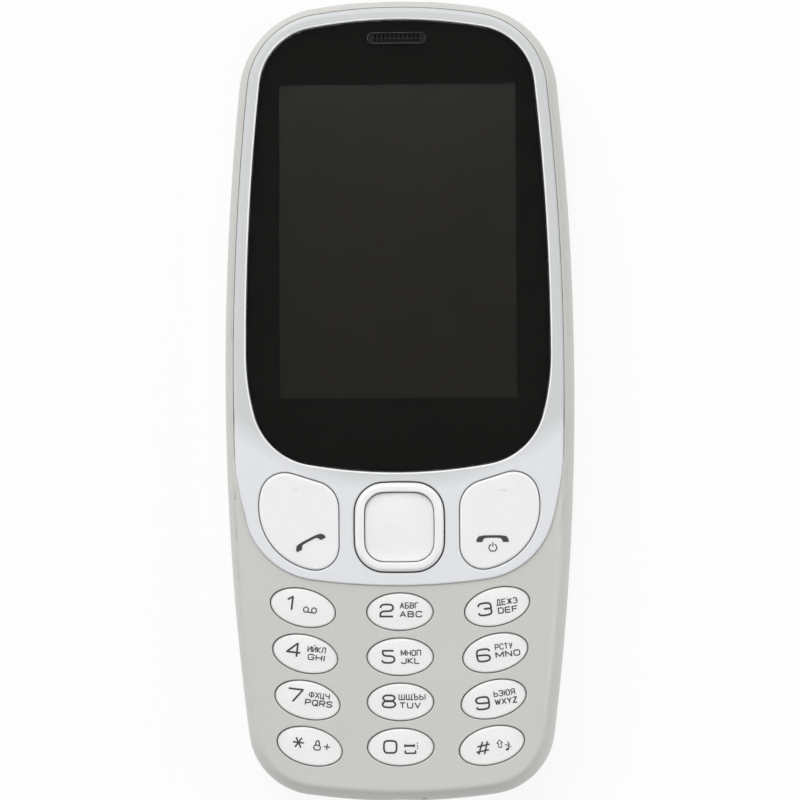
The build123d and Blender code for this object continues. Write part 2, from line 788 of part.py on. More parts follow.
# Display bezel: the light ring round the window, with the call, end and navigation openings
with BuildPart() as display_bezel:
    with BuildSketch(Plane.XY.offset(bezel_seat)):
        draw_outline(plan, housing_inset)
    extrude(amount=bezel_thickness)
    fillet(display_bezel.faces().sort_by(Axis.Z)[-1].edges(), radius=bezel_outer_edge)
    with BuildPart(mode=Mode.PRIVATE) as bezel_limit:
        with BuildSketch(Plane.XY.offset(bezel_seat)):
            draw_outline(bezel_plan)
            with Locations((0, bezel_widest_y)):
                Rectangle(phone_width, phone_length, align=(Align.CENTER, Align.MIN))
        extrude(amount=bezel_thickness)
        low_edges = bezel_limit.faces().sort_by(Axis.Z)[-1].edges().filter_by(
            lambda edge: edge.center().Y < bezel_widest_y - edge_break)
        fillet(low_edges, radius=bezel_low_edge)
    add(bezel_limit.part, mode=Mode.INTERSECT)
    with BuildSketch(Plane.XY.offset(bezel_seat)):
        draw_outline(window_plan)
    extrude(amount=bezel_thickness, mode=Mode.SUBTRACT)
    for side in (-1, 1):
        with BuildSketch(Plane.XY.offset(bezel_seat)):
            draw_side_key(side, key_gap)
        extrude(amount=bezel_thickness, mode=Mode.SUBTRACT)
    with BuildSketch(Plane((0, nav_center_y, bezel_seat))):
        draw_outline(ring_plan, -ring_gap)
    extrude(amount=bezel_thickness, mode=Mode.SUBTRACT)
    top_face = display_bezel.faces().filter_by(Plane.XY).sort_by(Axis.Z)[-1]
    fillet([edge for wire in top_face.inner_wires() for edge in wire.edges()],
           radius=bezel_inner_edge)
pieces["display_bezel"] = display_bezel

# Display window and the black tape that holds it down and frames the view
with BuildPart() as display_window:
    with BuildSketch(Plane.XY.offset(tape_top)):
        draw_outline(window_plan, window_fit)
        with Locations((0, slot_y)):
            SlotOverall(slot_length, slot_width, mode=Mode.SUBTRACT)
    extrude(amount=window_thickness)
    fillet(display_window.faces().sort_by(Axis.Z)[-1].outer_wire().edges(), radius=window_edge)
pieces["display_window"] = display_window

with BuildPart() as window_tape:
    with BuildSketch(Plane.XY.offset(bezel_seat)):
        draw_outline(window_plan, tape_inset)
        with Locations((0, view_center_y)):
            RectangleRounded(view_width, view_height, view_corner, mode=Mode.SUBTRACT)
        with Locations((0, slot_y)):
            SlotOverall(slot_length, slot_width, mode=Mode.SUBTRACT)
    extrude(amount=tape_thickness)
pieces["window_tape"] = window_tape

# Earpiece: perforated grille in the window's slot, and the receiver under it
with BuildPart() as earpiece_grille:
    grille_bottom = window_top - grille_sink - grille_thickness
    with BuildSketch(Plane.XY.offset(grille_bottom)):
        with Locations((0, slot_y)):
            SlotOverall(slot_length - small_gap, slot_width - small_gap)
    extrude(amount=grille_thickness)
    with BuildSketch(Plane.XY.offset(bezel_seat + small_gap)):
        with Locations((0, slot_y)):
            SlotOverall(slot_length - small_gap, slot_width - small_gap)
            SlotOverall(slot_length - slot_rim, slot_width - slot_rim, mode=Mode.SUBTRACT)
    extrude(amount=grille_bottom - bezel_seat)
    with BuildSketch(Plane.XY.offset(grille_bottom)):
        across = int((slot_length - 4 * slot_rim) / grille_hole_pitch)
        with Locations((0, slot_y)):
            with GridLocations(grille_hole_pitch, grille_hole_pitch, across, 2):
                Circle(grille_hole_radius)
    extrude(amount=grille_thickness, mode=Mode.SUBTRACT)
pieces["earpiece_grille"] = earpiece_grille

with BuildPart() as earpiece_receiver:
    receiver_top = plate_bottom - receiver_gap
    with BuildSketch(Plane.XY.offset(receiver_top - receiver_height)):
        with Locations((0, slot_y)):
            RectangleRounded(receiver_length, receiver_width, receiver_width / 4)
    extrude(amount=receiver_height)
    fillet(earpiece_receiver.faces().sort_by(Axis.Z)[-1].edges(), radius=edge_break)
    with BuildSketch(Plane.XY.offset(receiver_top)):
        with Locations((0, slot_y)):
            SlotOverall(slot_length - 2 * slot_rim, slot_width)
    extrude(amount=-receiver_height / 4, mode=Mode.SUBTRACT)
pieces["earpiece_receiver"] = earpiece_receiver

# Display stack: foam gasket, glass panel, light guide and the metal tray that holds them
panel_width = view_width + 2 * panel_border
panel_low_y = view_low_y - panel_low_border
panel_high_y = view_high_y + panel_border
panel_height = panel_high_y - panel_low_y
panel_center = (0, (panel_low_y + panel_high_y) / 2)
with BuildPart() as display_gasket:
    with BuildSketch(Plane.XY.offset(panel_top)):
        with Locations((0, view_center_y)):
            Rectangle(view_width + 2 * gasket_width, view_height + 2 * gasket_width)
            Rectangle(view_width, view_height, mode=Mode.SUBTRACT)
    extrude(amount=gasket_thickness)
pieces["display_gasket"] = display_gasket

with BuildPart() as display_panel:
    with BuildSketch(Plane.XY.offset(panel_bottom)):
        with Locations(panel_center):
            Rectangle(panel_width, panel_height)
    extrude(amount=panel_thickness)
pieces["display_panel"] = display_panel

with BuildPart() as display_backlight:
    with BuildSketch(Plane.XY.offset(backlight_bottom)):
        with Locations(panel_center):
            Rectangle(panel_width, panel_height)
    extrude(amount=backlight_thickness)
pieces["display_backlight"] = display_backlight

with BuildPart() as display_frame:
    tray_width = panel_width + 2 * (frame_fit + frame_wall)
    tray_height = panel_height + 2 * (frame_fit + frame_wall)
    with BuildSketch(Plane.XY.offset(frame_bottom)):
        with Locations(panel_center):
            Rectangle(tray_width, tray_height)
    extrude(amount=panel_top - frame_bottom)
    fillet(display_frame.edges().filter_by(Axis.Z), radius=frame_wall)
    with BuildSketch(Plane.XY.offset(backlight_bottom)):
        with Locations(panel_center):
            Rectangle(panel_width + 2 * frame_fit, panel_height + 2 * frame_fit)
    extrude(amount=panel_top, mode=Mode.SUBTRACT)
pieces["display_frame"] = display_frame

# Display ribbon: out of the tray's low end, down and onto its connector
tray_low_y = panel_center[1] - tray_height / 2
ribbon_top = frame_bottom + flex_thickness
ribbon_low = board_top + connector_height
with BuildPart() as display_flex:
    with BuildSketch(Plane.YZ):
        with BuildLine():
            FilletPolyline((tray_low_y - flex_thickness, ribbon_top),
                           (tray_low_y - flex_reach / 2, ribbon_top),
                           (tray_low_y - flex_reach, ribbon_low),
                           (tray_low_y - flex_reach - connector_depth, ribbon_low),
                           radius=flex_thickness)
            offset(amount=flex_thickness / 2, side=Side.BOTH)
        make_face()
    extrude(amount=flex_width / 2, both=True)
pieces["display_flex"] = display_flex

with BuildPart() as display_connector:
    with BuildSketch(Plane.XY.offset(board_top)):
        with Locations((0, tray_low_y - flex_reach - connector_depth / 2)):
            Rectangle(flex_width + edge_break, connector_depth)
    extrude(amount=connector_height - flex_thickness)
pieces["display_connector"] = display_connector

# Main board with the holes and notches for the housing bosses
with BuildPart() as main_board:
    with BuildSketch(Plane.XY.offset(board_bottom)):
        draw_outline(plan, board_inset)
        with Locations(*screw_places):
            Circle(boss_radius + boss_slack, mode=Mode.SUBTRACT)
        for side in (-1, 1):
            with Locations((side * middle_screw_x, middle_screw_y)):
                Rectangle(2 * middle_screw_side,
                          2 * (boss_radius + boss_slack), mode=Mode.SUBTRACT,
                          align=(Align.MIN if side > 0 else Align.MAX, Align.CENTER))
    extrude(amount=board_thickness)
pieces["main_board"] = main_board

shield_width = panel_width - 2 * shield_side_margin
shield_length = (panel_height - shield_low_margin - shield_high_margin - shield_spacing) / 2
shield_low_y = panel_low_y + shield_low_margin + shield_length / 2
with BuildPart() as shield_cans:
    for shield_y in (shield_low_y, shield_low_y + shield_length + shield_spacing):
        with BuildSketch(Plane.XY.offset(board_top)):
            with Locations((0, shield_y)):
                RectangleRounded(shield_width, shield_length, shield_corner)
        extrude(amount=shield_height)
        with BuildSketch(Plane.XY.offset(board_top)):
            with Locations((0, shield_y)):
                Rectangle(shield_width - 2 * shield_corner, shield_length - 2 * shield_corner)
        extrude(amount=shield_height - shield_wall, mode=Mode.SUBTRACT)
pieces["shield_cans"] = shield_cans

# Key contacts: snap domes, the film that holds them, and the keypad lamps
with BuildPart() as single_dome:
    with BuildSketch(Plane.XZ):
        with BuildLine():
            ThreePointArc((-dome_radius, 0), (0, dome_height), (dome_radius, 0))
            Line((-dome_radius, 0), (dome_radius, 0))
        make_face()
        Rectangle(dome_radius, dome_height, align=(Align.MIN, Align.MIN), mode=Mode.INTERSECT)
    revolve(axis=Axis.Z)

with BuildPart() as key_domes:
    with Locations(*[(x, y, board_top) for x, y in press_places]):
        add(single_dome.part)
pieces["key_domes"] = key_domes

with BuildPart() as dome_sheet:
    with BuildSketch(Plane.XY.offset(board_top)):
        draw_outline(plan, board_inset + mat_inset)
        with Locations((0, (mat_top_y + mat_bottom_y) / 2)):
            Rectangle(phone_width, mat_top_y - mat_bottom_y, mode=Mode.INTERSECT)
        with Locations(*press_places):
            Circle(dome_radius + sheet_hole_gap, mode=Mode.SUBTRACT)
        with Locations(*lamp_places):
            Rectangle(lamp_length + 2 * lamp_hole_gap, lamp_width + 2 * lamp_hole_gap,
                      mode=Mode.SUBTRACT)
    extrude(amount=sheet_thickness)
pieces["dome_sheet"] = dome_sheet

with BuildPart() as keypad_lamps:
    with BuildSketch(Plane.XY.offset(board_top)):
        with Locations(*lamp_places):
            Rectangle(lamp_length, lamp_width)
    extrude(amount=lamp_height)
pieces["keypad_lamps"] = keypad_lamps

# Silicone keypad mat, with a hole round each plunger
with BuildPart() as keypad_mat:
    with BuildSketch(Plane.XY.offset(mat_bottom)):
        draw_outline(plan, board_inset + mat_inset)
        with Locations((0, (mat_top_y + mat_bottom_y) / 2)):
            Rectangle(phone_width, mat_top_y - mat_bottom_y, mode=Mode.INTERSECT)
        with Locations(*press_places):
            Circle(plunger_radius + plunger_slack, mode=Mode.SUBTRACT)
    extrude(amount=mat_thickness)
pieces["keypad_mat"] = keypad_mat

# Number keys: a crowned oval cap, the flange that keeps it in, and its plunger
for name, place, tilt in number_keys:
    with BuildPart() as number_key:
        with BuildSketch(Plane.XY.offset(flange_bottom)):
            draw_number_key(place, tilt, -key_gap)
        extrude(amount=housing_top + number_key_rise - flange_bottom)
        crown_z = housing_top + number_key_rise - number_key_crown_radius
        with Locations((*place, crown_z)):
            Sphere(number_key_crown_radius, mode=Mode.INTERSECT)
        fillet(number_key.faces().sort_by(Axis.Z)[-1].edges(), radius=number_key_edge)
        with BuildSketch(Plane.XY.offset(flange_bottom)):
            draw_number_key(place, tilt, flange_lip - key_gap)
        extrude(amount=flange_thickness)
        with BuildSketch(Plane.XY.offset(plunger_bottom)):
            with Locations(place):
                Circle(plunger_radius)
        extrude(amount=flange_bottom - plunger_bottom)
    pieces[f"key_{name}"] = number_key

# Call and end keys: each rocks about X on two plungers
for side, name in ((-1, "call_key"), (1, "end_key")):
    with BuildPart() as side_key:
        with BuildSketch(Plane.XY.offset(flange_bottom)):
            draw_side_key(side, -key_gap)
        extrude(amount=bezel_top + side_key_rise - flange_bottom)
        fillet(side_key.faces().sort_by(Axis.Z)[-1].edges(), radius=side_key_edge)
        with BuildSketch(Plane.XY.offset(flange_bottom)):
            draw_side_key(side, flange_lip - key_gap)
        extrude(amount=flange_thickness)
        with BuildSketch(Plane.XY.offset(plunger_bottom)):
            with Locations(*side_plungers[side]):
                Circle(plunger_radius)
        extrude(amount=flange_bottom - plunger_bottom)
    pieces[name] = side_key

# Navigation ring on its carrier, and the select key in the middle
carrier_top = flange_bottom + carrier_thickness
with BuildPart() as nav_carrier:
    with BuildSketch(Plane((0, nav_center_y, flange_bottom))):
        draw_outline(ring_plan, -carrier_lip)
        draw_outline(select_plan, -select_gap, mode=Mode.SUBTRACT)
    extrude(amount=carrier_thickness)
    with BuildSketch(Plane.XY.offset(plunger_bottom)):
        with Locations(*nav_plungers):
            Circle(nav_plunger_radius)
    extrude(amount=flange_bottom - plunger_bottom)
pieces["nav_carrier"] = nav_carrier

with BuildPart() as nav_ring:
    ring_bottom = carrier_top + ring_underside_gap
    with BuildSketch(Plane((0, nav_center_y, ring_bottom))):
        draw_outline(ring_plan, ring_gap)
        draw_outline(select_plan, -select_gap, mode=Mode.SUBTRACT)
    extrude(amount=bezel_top + ring_rise - ring_bottom)
    ring_face = nav_ring.faces().sort_by(Axis.Z)[-1]
    fillet(ring_face.outer_wire().edges(), radius=ring_outer_edge)
    ring_face = nav_ring.faces().filter_by(Plane.XY).sort_by(Axis.Z)[-1]
    fillet(ring_face.inner_wires()[0].edges(), radius=ring_inner_edge)
pieces["nav_ring"] = nav_ring

with BuildPart() as select_key:
    with BuildSketch(Plane((0, nav_center_y, flange_bottom))):
        draw_outline(select_plan, select_gap)
    extrude(amount=bezel_top + select_rise - flange_bottom)
    with Locations((0, nav_center_y, bezel_top + select_rise - select_crown_radius)):
        Sphere(select_crown_radius, mode=Mode.INTERSECT)
    fillet(select_key.faces().sort_by(Axis.Z)[-1].edges(), radius=select_edge)
    with BuildSketch(Plane.XY.offset(plunger_bottom)):
        with Locations((0, nav_center_y)):
            Circle(plunger_radius)
    extrude(amount=flange_bottom - plunger_bottom)
pieces["select_key"] = select_key

# Battery, its terminals, and the spring contacts that meet them
with BuildPart() as battery:
    with BuildSketch(Plane.XY.offset(battery_bottom)):
        with Locations((0, battery_y)):
            RectangleRounded(battery_width, battery_length, battery_corner)
    extrude(amount=battery_thickness)
    fillet(battery.faces().filter_by(Plane.XY).edges(), radius=battery_edge)
    with Locations((0, battery_high_y, battery_top - battery_thickness / 2)):
        with GridLocations(terminal_pitch, 0, 3, 1):
            Box(terminal_width, 2 * terminal_depth, battery_thickness / 2, mode=Mode.SUBTRACT)
pieces["battery"] = battery

with BuildPart() as battery_terminals:
    with Locations((0, battery_high_y - terminal_depth, battery_top - battery_thickness / 2)):
        with GridLocations(terminal_pitch, 0, 3, 1):
            Box(terminal_width, terminal_depth / 2, battery_thickness / 2,
                align=(Align.CENTER, Align.MIN, Align.CENTER))
pieces["battery_terminals"] = battery_terminals

with BuildPart() as battery_contacts:
    contacts_top = board_bottom
    block_y = bay_top_y + contacts_depth / 2
    with Locations((0, block_y, contacts_top)):
        Box(contacts_width, contacts_depth, contacts_height,
            align=(Align.CENTER, Align.CENTER, Align.MAX))
    with Locations((0, bay_top_y, battery_top - battery_thickness / 2)):
        with GridLocations(terminal_pitch, 0, 3, 1):
            Box(contact_finger_width, 2 * contact_finger_reach, contact_finger_width)
pieces["battery_contacts"] = battery_contacts


def card_tray(width, length, place):
    """A low metal socket on the board's underside, open towards the battery."""
    with BuildPart() as tray:
        with BuildSketch(Plane.XY.offset(board_bottom)):
            with Locations(place):
                RectangleRounded(width, length, tray_wall * 2)
        extrude(amount=-socket_height)
        with BuildSketch(Plane.XY.offset(board_bottom - socket_height)):
            with Locations(place):
                Rectangle(width - 8 * tray_wall, length - 8 * tray_wall)
        extrude(amount=socket_height - tray_wall, mode=Mode.SUBTRACT)
    return tray


pieces["sim_socket_1"] = card_tray(sim_width, sim_length, (-sim_x, sim_y))
pieces["sim_socket_2"] = card_tray(sim_width, sim_length, (sim_x, sim_y))
pieces["memory_card_socket"] = card_tray(card_width, card_length, (0, card_y))

# Loudspeaker, face down on the chassis floor
with BuildPart() as loudspeaker:
    with BuildSketch(Plane.XY.offset(chassis_floor)):
        with Locations((0, speaker_y)):
            RectangleRounded(speaker_length, speaker_width, speaker_corner)
    extrude(amount=speaker_height)
    fillet(loudspeaker.faces().sort_by(Axis.Z)[-1].edges(), radius=edge_break)
    with BuildSketch(Plane.XY.offset(chassis_floor)):
        with Locations((0, speaker_y)):
            RectangleRounded(cone_length, cone_width, speaker_corner / 2)
    extrude(amount=cone_depth, mode=Mode.SUBTRACT)
pieces["loudspeaker"] = loudspeaker

# Camera module, hung from the board and looking out of the back
with BuildPart() as camera_module:
    with BuildSketch(Plane.XY.offset(board_bottom)):
        with Locations((0, camera_y)):
            Rectangle(2 * camera_half, 2 * camera_half)
    extrude(amount=-camera_height)
    with BuildSketch(Plane.XY.offset(chassis_floor + small_gap)):
        with Locations((0, camera_y)):
            Circle(camera_barrel_radius)
    extrude(amount=board_bottom - camera_height - chassis_floor - small_gap)
    with BuildSketch(Plane.XY.offset(chassis_floor + small_gap)):
        with Locations((0, camera_y)):
            Circle(camera_pupil_radius)
    extrude(amount=camera_pupil_depth, taper=-20, mode=Mode.SUBTRACT)
pieces["camera_module"] = camera_module

# Charging socket: a folded shell with its contact tongue
usb_mouth_y = top_end - chassis_inset - small_gap
usb_z = board_bottom - usb_height / 2
with BuildPart() as usb_socket:
    with BuildSketch(Plane.XZ.offset(-usb_mouth_y)):
        with Locations((0, usb_z)):
            RectangleRounded(usb_width, usb_height, usb_shell * 2)
    extrude(amount=usb_depth)
    with BuildSketch(Plane.XZ.offset(-usb_mouth_y)):
        with Locations((0, usb_z)):
            RectangleRounded(usb_width - 2 * usb_shell, usb_height - 2 * usb_shell, usb_shell)
    extrude(amount=usb_depth - usb_shell, mode=Mode.SUBTRACT)
    with BuildSketch(Plane.XZ.offset(usb_tongue_setback - usb_mouth_y)):
        with Locations((0, usb_z + usb_tongue_thickness / 2)):
            Rectangle(usb_tongue_width, usb_tongue_thickness)
    extrude(amount=usb_depth - usb_tongue_setback)
pieces["usb_socket"] = usb_socket

# Headset socket: a block with a plain bore
jack_mouth_y = low_end + chassis_inset + small_gap
with BuildPart() as audio_jack:
    with BuildSketch(Plane.XZ.offset(-jack_mouth_y)):
        with Locations((0, jack_z)):
            Rectangle(jack_width, board_bottom - chassis_floor - jack_floor_gap)
    extrude(amount=-jack_length)
    fillet(audio_jack.edges().filter_by(Axis.Y), radius=edge_break)
    with BuildSketch(Plane.XZ.offset(-jack_mouth_y)):
        with Locations((0, jack_z)):
            Circle(jack_bore_radius)
    extrude(amount=-jack_bore_length, mode=Mode.SUBTRACT)
pieces["audio_jack"] = audio_jack

# Vibration motor, and the half-round weight that spins on its shaft
motor_z = chassis_floor + motor_floor_gap + motor_radius
weight_start = motor_start_x + motor_length + weight_gap
with BuildPart() as vibration_motor:
    with BuildSketch(Plane.YZ.offset(motor_start_x)):
        with Locations((motor_y, motor_z)):
            Circle(motor_radius)
    extrude(amount=motor_length)
    fillet(vibration_motor.edges(), radius=edge_break)
    with BuildSketch(Plane.YZ.offset(motor_start_x + motor_length)):
        with Locations((motor_y, motor_z)):
            Circle(motor_shaft_radius)
    extrude(amount=weight_gap + weight_length)
pieces["vibration_motor"] = vibration_motor

with BuildPart() as vibration_weight:
    with BuildSketch(Plane.YZ.offset(weight_start)):
        with Locations((motor_y, motor_z)):
            Circle(weight_radius)
            Rectangle(2 * weight_radius, weight_radius, mode=Mode.SUBTRACT,
                      align=(Align.CENTER, Align.MIN))
            Circle(2 * motor_shaft_radius)
            Circle(motor_shaft_radius + weight_bore_slack, mode=Mode.SUBTRACT)
    extrude(amount=weight_length)
pieces["vibration_weight"] = vibration_weight

with BuildPart() as microphone:
    with BuildSketch(Plane.XY.offset(board_top)):
        with Locations((mic_x, mic_y)):
            RectangleRounded(mic_width, mic_depth, edge_break)
    extrude(amount=mic_height)
pieces["microphone"] = microphone

# Antenna: plastic carrier with a slotted metal strip on its outer face
with BuildPart() as antenna_carrier:
    with BuildSketch(Plane.XY.offset(chassis_floor + antenna_floor_gap + strip_thickness)):
        with Locations(antenna_center):
            Rectangle(antenna_width, antenna_length)
    extrude(amount=board_bottom - chassis_floor - antenna_floor_gap - strip_thickness
            - antenna_headroom)
    fillet(antenna_carrier.edges().filter_by(Axis.Z), radius=edge_break)
pieces["antenna_carrier"] = antenna_carrier

with BuildPart() as antenna_strip:
    strip_width = antenna_width - strip_margin
    strip_length = antenna_length - strip_margin
    with BuildSketch(Plane.XY.offset(chassis_floor + antenna_floor_gap)):
        with Locations(antenna_center):
            Rectangle(strip_width, strip_length)
            Rectangle(strip_width, strip_slot, mode=Mode.SUBTRACT,
                      align=(Align.MIN, Align.CENTER))
    extrude(amount=strip_thickness)
pieces["antenna_strip"] = antenna_strip

for name, piece in pieces.items():
    piece.part.label = name
    export_step(piece.part, f"parts/{name}.step")
print(len(pieces), "pieces written")
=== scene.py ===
import json
import math

import bmesh
import bpy
from mathutils import Matrix, Vector
from mathutils.bvhtree import BVHTree


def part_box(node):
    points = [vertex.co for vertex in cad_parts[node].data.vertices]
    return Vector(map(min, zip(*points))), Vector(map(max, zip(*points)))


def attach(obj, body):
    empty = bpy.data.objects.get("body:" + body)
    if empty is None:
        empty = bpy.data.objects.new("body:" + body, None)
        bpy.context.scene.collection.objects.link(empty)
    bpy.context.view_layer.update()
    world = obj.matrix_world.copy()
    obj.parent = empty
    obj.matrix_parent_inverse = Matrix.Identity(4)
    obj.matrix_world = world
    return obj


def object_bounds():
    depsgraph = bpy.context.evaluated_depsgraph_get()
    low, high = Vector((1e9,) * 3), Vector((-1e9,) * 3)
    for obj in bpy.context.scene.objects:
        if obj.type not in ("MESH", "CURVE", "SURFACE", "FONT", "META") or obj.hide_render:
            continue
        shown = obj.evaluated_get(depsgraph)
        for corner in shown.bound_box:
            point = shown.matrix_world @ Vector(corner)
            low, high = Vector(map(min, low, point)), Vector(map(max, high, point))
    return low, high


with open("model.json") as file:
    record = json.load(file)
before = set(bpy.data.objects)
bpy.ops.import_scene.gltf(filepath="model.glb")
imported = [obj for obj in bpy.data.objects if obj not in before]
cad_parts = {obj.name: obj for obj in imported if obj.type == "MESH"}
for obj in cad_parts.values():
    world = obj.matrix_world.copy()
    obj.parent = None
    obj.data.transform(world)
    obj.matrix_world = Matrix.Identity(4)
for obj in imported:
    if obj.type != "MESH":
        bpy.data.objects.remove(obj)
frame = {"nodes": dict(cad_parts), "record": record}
cadLow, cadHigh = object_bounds()
nodes = frame["nodes"]
mm = 0.001


# helpers that the finishes share

def shade(red, green, blue):
    # a colour as a picture editor shows it, 0 to 255
    def linear(value):
        value = value / 255
        return value / 12.92 if value <= 0.04045 else ((value + 0.055) / 1.055) ** 2.4
    return (linear(red), linear(green), linear(blue), 1)


def newFinish(name, **sockets):
    finish = bpy.data.materials.new(name)
    finish.use_nodes = True
    tree = finish.node_tree
    shader = tree.nodes["Principled BSDF"]
    for label, value in sockets.items():
        shader.inputs[label.replace("_", " ")].default_value = value
    return finish, tree, shader


def surfacePoints(tree, stretch=(1, 1, 1), shift=(0, 0, 0)):
    coords = tree.nodes.new("ShaderNodeTexCoord")
    mapping = tree.nodes.new("ShaderNodeMapping")
    mapping.inputs["Scale"].default_value = stretch
    mapping.inputs["Location"].default_value = shift
    tree.links.new(coords.outputs["Object"], mapping.inputs["Vector"])
    return mapping.outputs["Vector"]


def mottle(tree, size, detail=2.0, points=None):
    # soft noise with blotches of about that size, in metres
    noise = tree.nodes.new("ShaderNodeTexNoise")
    noise.inputs["Scale"].default_value = 1 / size
    noise.inputs["Detail"].default_value = detail
    tree.links.new(points or surfacePoints(tree), noise.inputs["Vector"])
    return noise.outputs["Fac"]


def flakes(tree, size, output="Distance"):
    cells = tree.nodes.new("ShaderNodeTexVoronoi")
    cells.inputs["Scale"].default_value = 1 / size
    tree.links.new(surfacePoints(tree), cells.inputs["Vector"])
    return cells.outputs[output]


def bricks(tree, shader, size, mortar, width, height, colors, offset=0.5):
    # the base colour in rows of cells: two colours, with joints in a third
    grid = tree.nodes.new("ShaderNodeTexBrick")
    grid.offset = offset
    values = {"Scale": 1 / size, "Mortar Size": mortar, "Brick Width": width, "Row Height": height}
    values.update(zip(("Color1", "Color2", "Mortar"), [shade(*color) for color in colors]))
    for label, value in values.items():
        grid.inputs[label].default_value = value
    tree.links.new(surfacePoints(tree), grid.inputs["Vector"])
    tree.links.new(grid.outputs["Color"], shader.inputs["Base Color"])
    return grid.outputs["Fac"]


def between(tree, fac, low, high, start=0.3, stop=0.7):
    span = tree.nodes.new("ShaderNodeMapRange")
    span.inputs["From Min"].default_value = start
    span.inputs["From Max"].default_value = stop
    span.inputs["To Min"].default_value = low
    span.inputs["To Max"].default_value = high
    tree.links.new(fac, span.inputs["Value"])
    return span.outputs["Result"]


def worked(tree, operation, first, second):
    # one value out of two; the second is a number or another node's output
    node = tree.nodes.new("ShaderNodeMath")
    node.operation = operation
    tree.links.new(first, node.inputs[0])
    if isinstance(second, float):
        node.inputs[1].default_value = second
    else:
        tree.links.new(second, node.inputs[1])
    return node.outputs["Value"]


def tint(tree, fac, first, second):
    # a mix of two colours, each written out or another node's output
    mix = tree.nodes.new("ShaderNodeMix")
    mix.data_type = "RGBA"
    ends = {socket.identifier: socket for socket in mix.inputs}
    for end, color in (("A_Color", first), ("B_Color", second)):
        if isinstance(color, tuple):
            ends[end].default_value = color
        else:
            tree.links.new(color, ends[end])
    tree.links.new(fac, ends["Factor_Float"])
    return {socket.identifier: socket for socket in mix.outputs}["Result_Color"]


def colored(tree, shader, fac, first, second):
    tree.links.new(tint(tree, fac, shade(*first), shade(*second)), shader.inputs["Base Color"])


def roughened(tree, shader, fac, low, high):
    tree.links.new(between(tree, fac, low, high), shader.inputs["Roughness"])


def relief(tree, shader, height, depth, strength):
    bump = tree.nodes.new("ShaderNodeBump")
    bump.inputs["Distance"].default_value = depth
    bump.inputs["Strength"].default_value = strength
    tree.links.new(height, bump.inputs["Height"])
    tree.links.new(bump.outputs["Normal"], shader.inputs["Normal"])


def dress(finish, *names):
    for name in names:
        for place in nodes[name].material_slots:
            place.material = finish


# finishes, one short function each

def shellPlastic():
    # warm grey moulding with the fine spark-eroded grain of its mould
    finish, tree, shader = newFinish("shellPlastic", IOR=1.5)
    colored(tree, shader, mottle(tree, 14 * mm), (197, 196, 192), (202, 201, 197))
    fine = mottle(tree, 0.11 * mm, 4)
    roughened(tree, shader, fine, 0.38, 0.50)
    relief(tree, shader, fine, 0.006 * mm, 0.5)
    return finish


def bezelLacquerAndShade():
    # silver-white paint with a very fine flake under a thin clear coat, with painted shade and light: darker
    # round the window, paler towards the keys
    finish, tree, shader = newFinish("bezelLacquerAndShade", IOR=1.5, Coat_Weight=0.12, Coat_Roughness=0.15)
    flake = flakes(tree, 0.09 * mm, "Color")
    # painted shade on the upper part round the window, painted light on the lower part towards the keys
    upper = tint(tree, flake, shade(199, 201, 202), shade(205, 207, 208))
    lower = tint(tree, flake, shade(219, 221, 224), shade(225, 227, 230))
    reach = tree.nodes.new("ShaderNodeVectorMath")
    reach.operation = "LENGTH"
    tree.links.new(surfacePoints(tree, stretch=(1, 1, 0), shift=(0, -23.1 * mm, 0)), reach.inputs[0])
    # the painted shade gives way to the painted light along a curve below the window
    shadeFade = between(tree, reach.outputs["Value"], 0, 1, 34.2 * mm, 37.0 * mm)
    tree.links.new(tint(tree, shadeFade, upper, lower), shader.inputs["Base Color"])
    wave = mottle(tree, 2.2 * mm, 1)
    roughened(tree, shader, wave, 0.40, 0.48)
    relief(tree, shader, wave, 0.004 * mm, 0.2)
    return finish


def keycapPlastic():
    # white moulding with a soft gloss, which lets a little light through
    finish, tree, shader = newFinish("keycapPlastic", IOR=1.5, Subsurface_Weight=0.4,
                                     Subsurface_Radius=(1, 1, 1), Subsurface_Scale=0.5 * mm)
    colored(tree, shader, mottle(tree, 4 * mm), (237, 237, 237), (240, 240, 239))
    fine = mottle(tree, 0.16 * mm, 3)
    roughened(tree, shader, fine, 0.24, 0.32)
    relief(tree, shader, fine, 0.003 * mm, 0.3)
    return finish


def legendInk():
    finish, tree, shader = newFinish("legendInk", IOR=1.45)
    colored(tree, shader, mottle(tree, 0.4 * mm, 3), (52, 50, 50), (66, 64, 63))
    roughened(tree, shader, mottle(tree, 0.09 * mm), 0.45, 0.60)
    return finish


def faintInk():
    # the soft-key marks, only just darker than their key
    finish, tree, shader = newFinish("faintInk", IOR=1.45, Roughness=0.4)
    patches = mottle(tree, 0.4 * mm, 3)
    colored(tree, shader, patches, (231, 231, 231), (234, 234, 234))
    return finish


def clearWindow():
    # hard-coated acrylic, with the least waviness in its skin
    finish, tree, shader = newFinish("clearWindow", IOR=1.49, Transmission_Weight=1.0, Roughness=0.0)
    colored(tree, shader, mottle(tree, 9 * mm, 1), (236, 237, 237), (241, 242, 242))
    relief(tree, shader, mottle(tree, 16 * mm, 1), 0.004 * mm, 0.15)
    return finish


def blackPrint():
    # black print and black engineering plastic
    finish, tree, shader = newFinish("blackPrint", IOR=1.45)
    colored(tree, shader, mottle(tree, 1.5 * mm, 3), (20, 20, 19), (26, 26, 25))
    fine = mottle(tree, 0.14 * mm, 3)
    roughened(tree, shader, fine, 0.42, 0.58)
    relief(tree, shader, fine, 0.005 * mm, 0.4)
    return finish


def borderPrint():
    # the window's own print, nearly black behind the clear pane
    finish, tree, shader = newFinish("borderPrint", IOR=1.45, Roughness=0.6, Specular_IOR_Level=0.15)
    colored(tree, shader, mottle(tree, 3 * mm, 2), (18, 16, 12), (21, 19, 15))
    return finish


def lipHighlightPaint():
    # a painted highlight: a bright white skin on the bezel's rounded edge all round the window
    finish, tree, shader = newFinish("lipHighlightPaint", IOR=1.5, Roughness=0.25, Coat_Weight=0.5)
    colored(tree, shader, mottle(tree, 2 * mm, 2), (248, 248, 249), (251, 251, 252))
    return finish


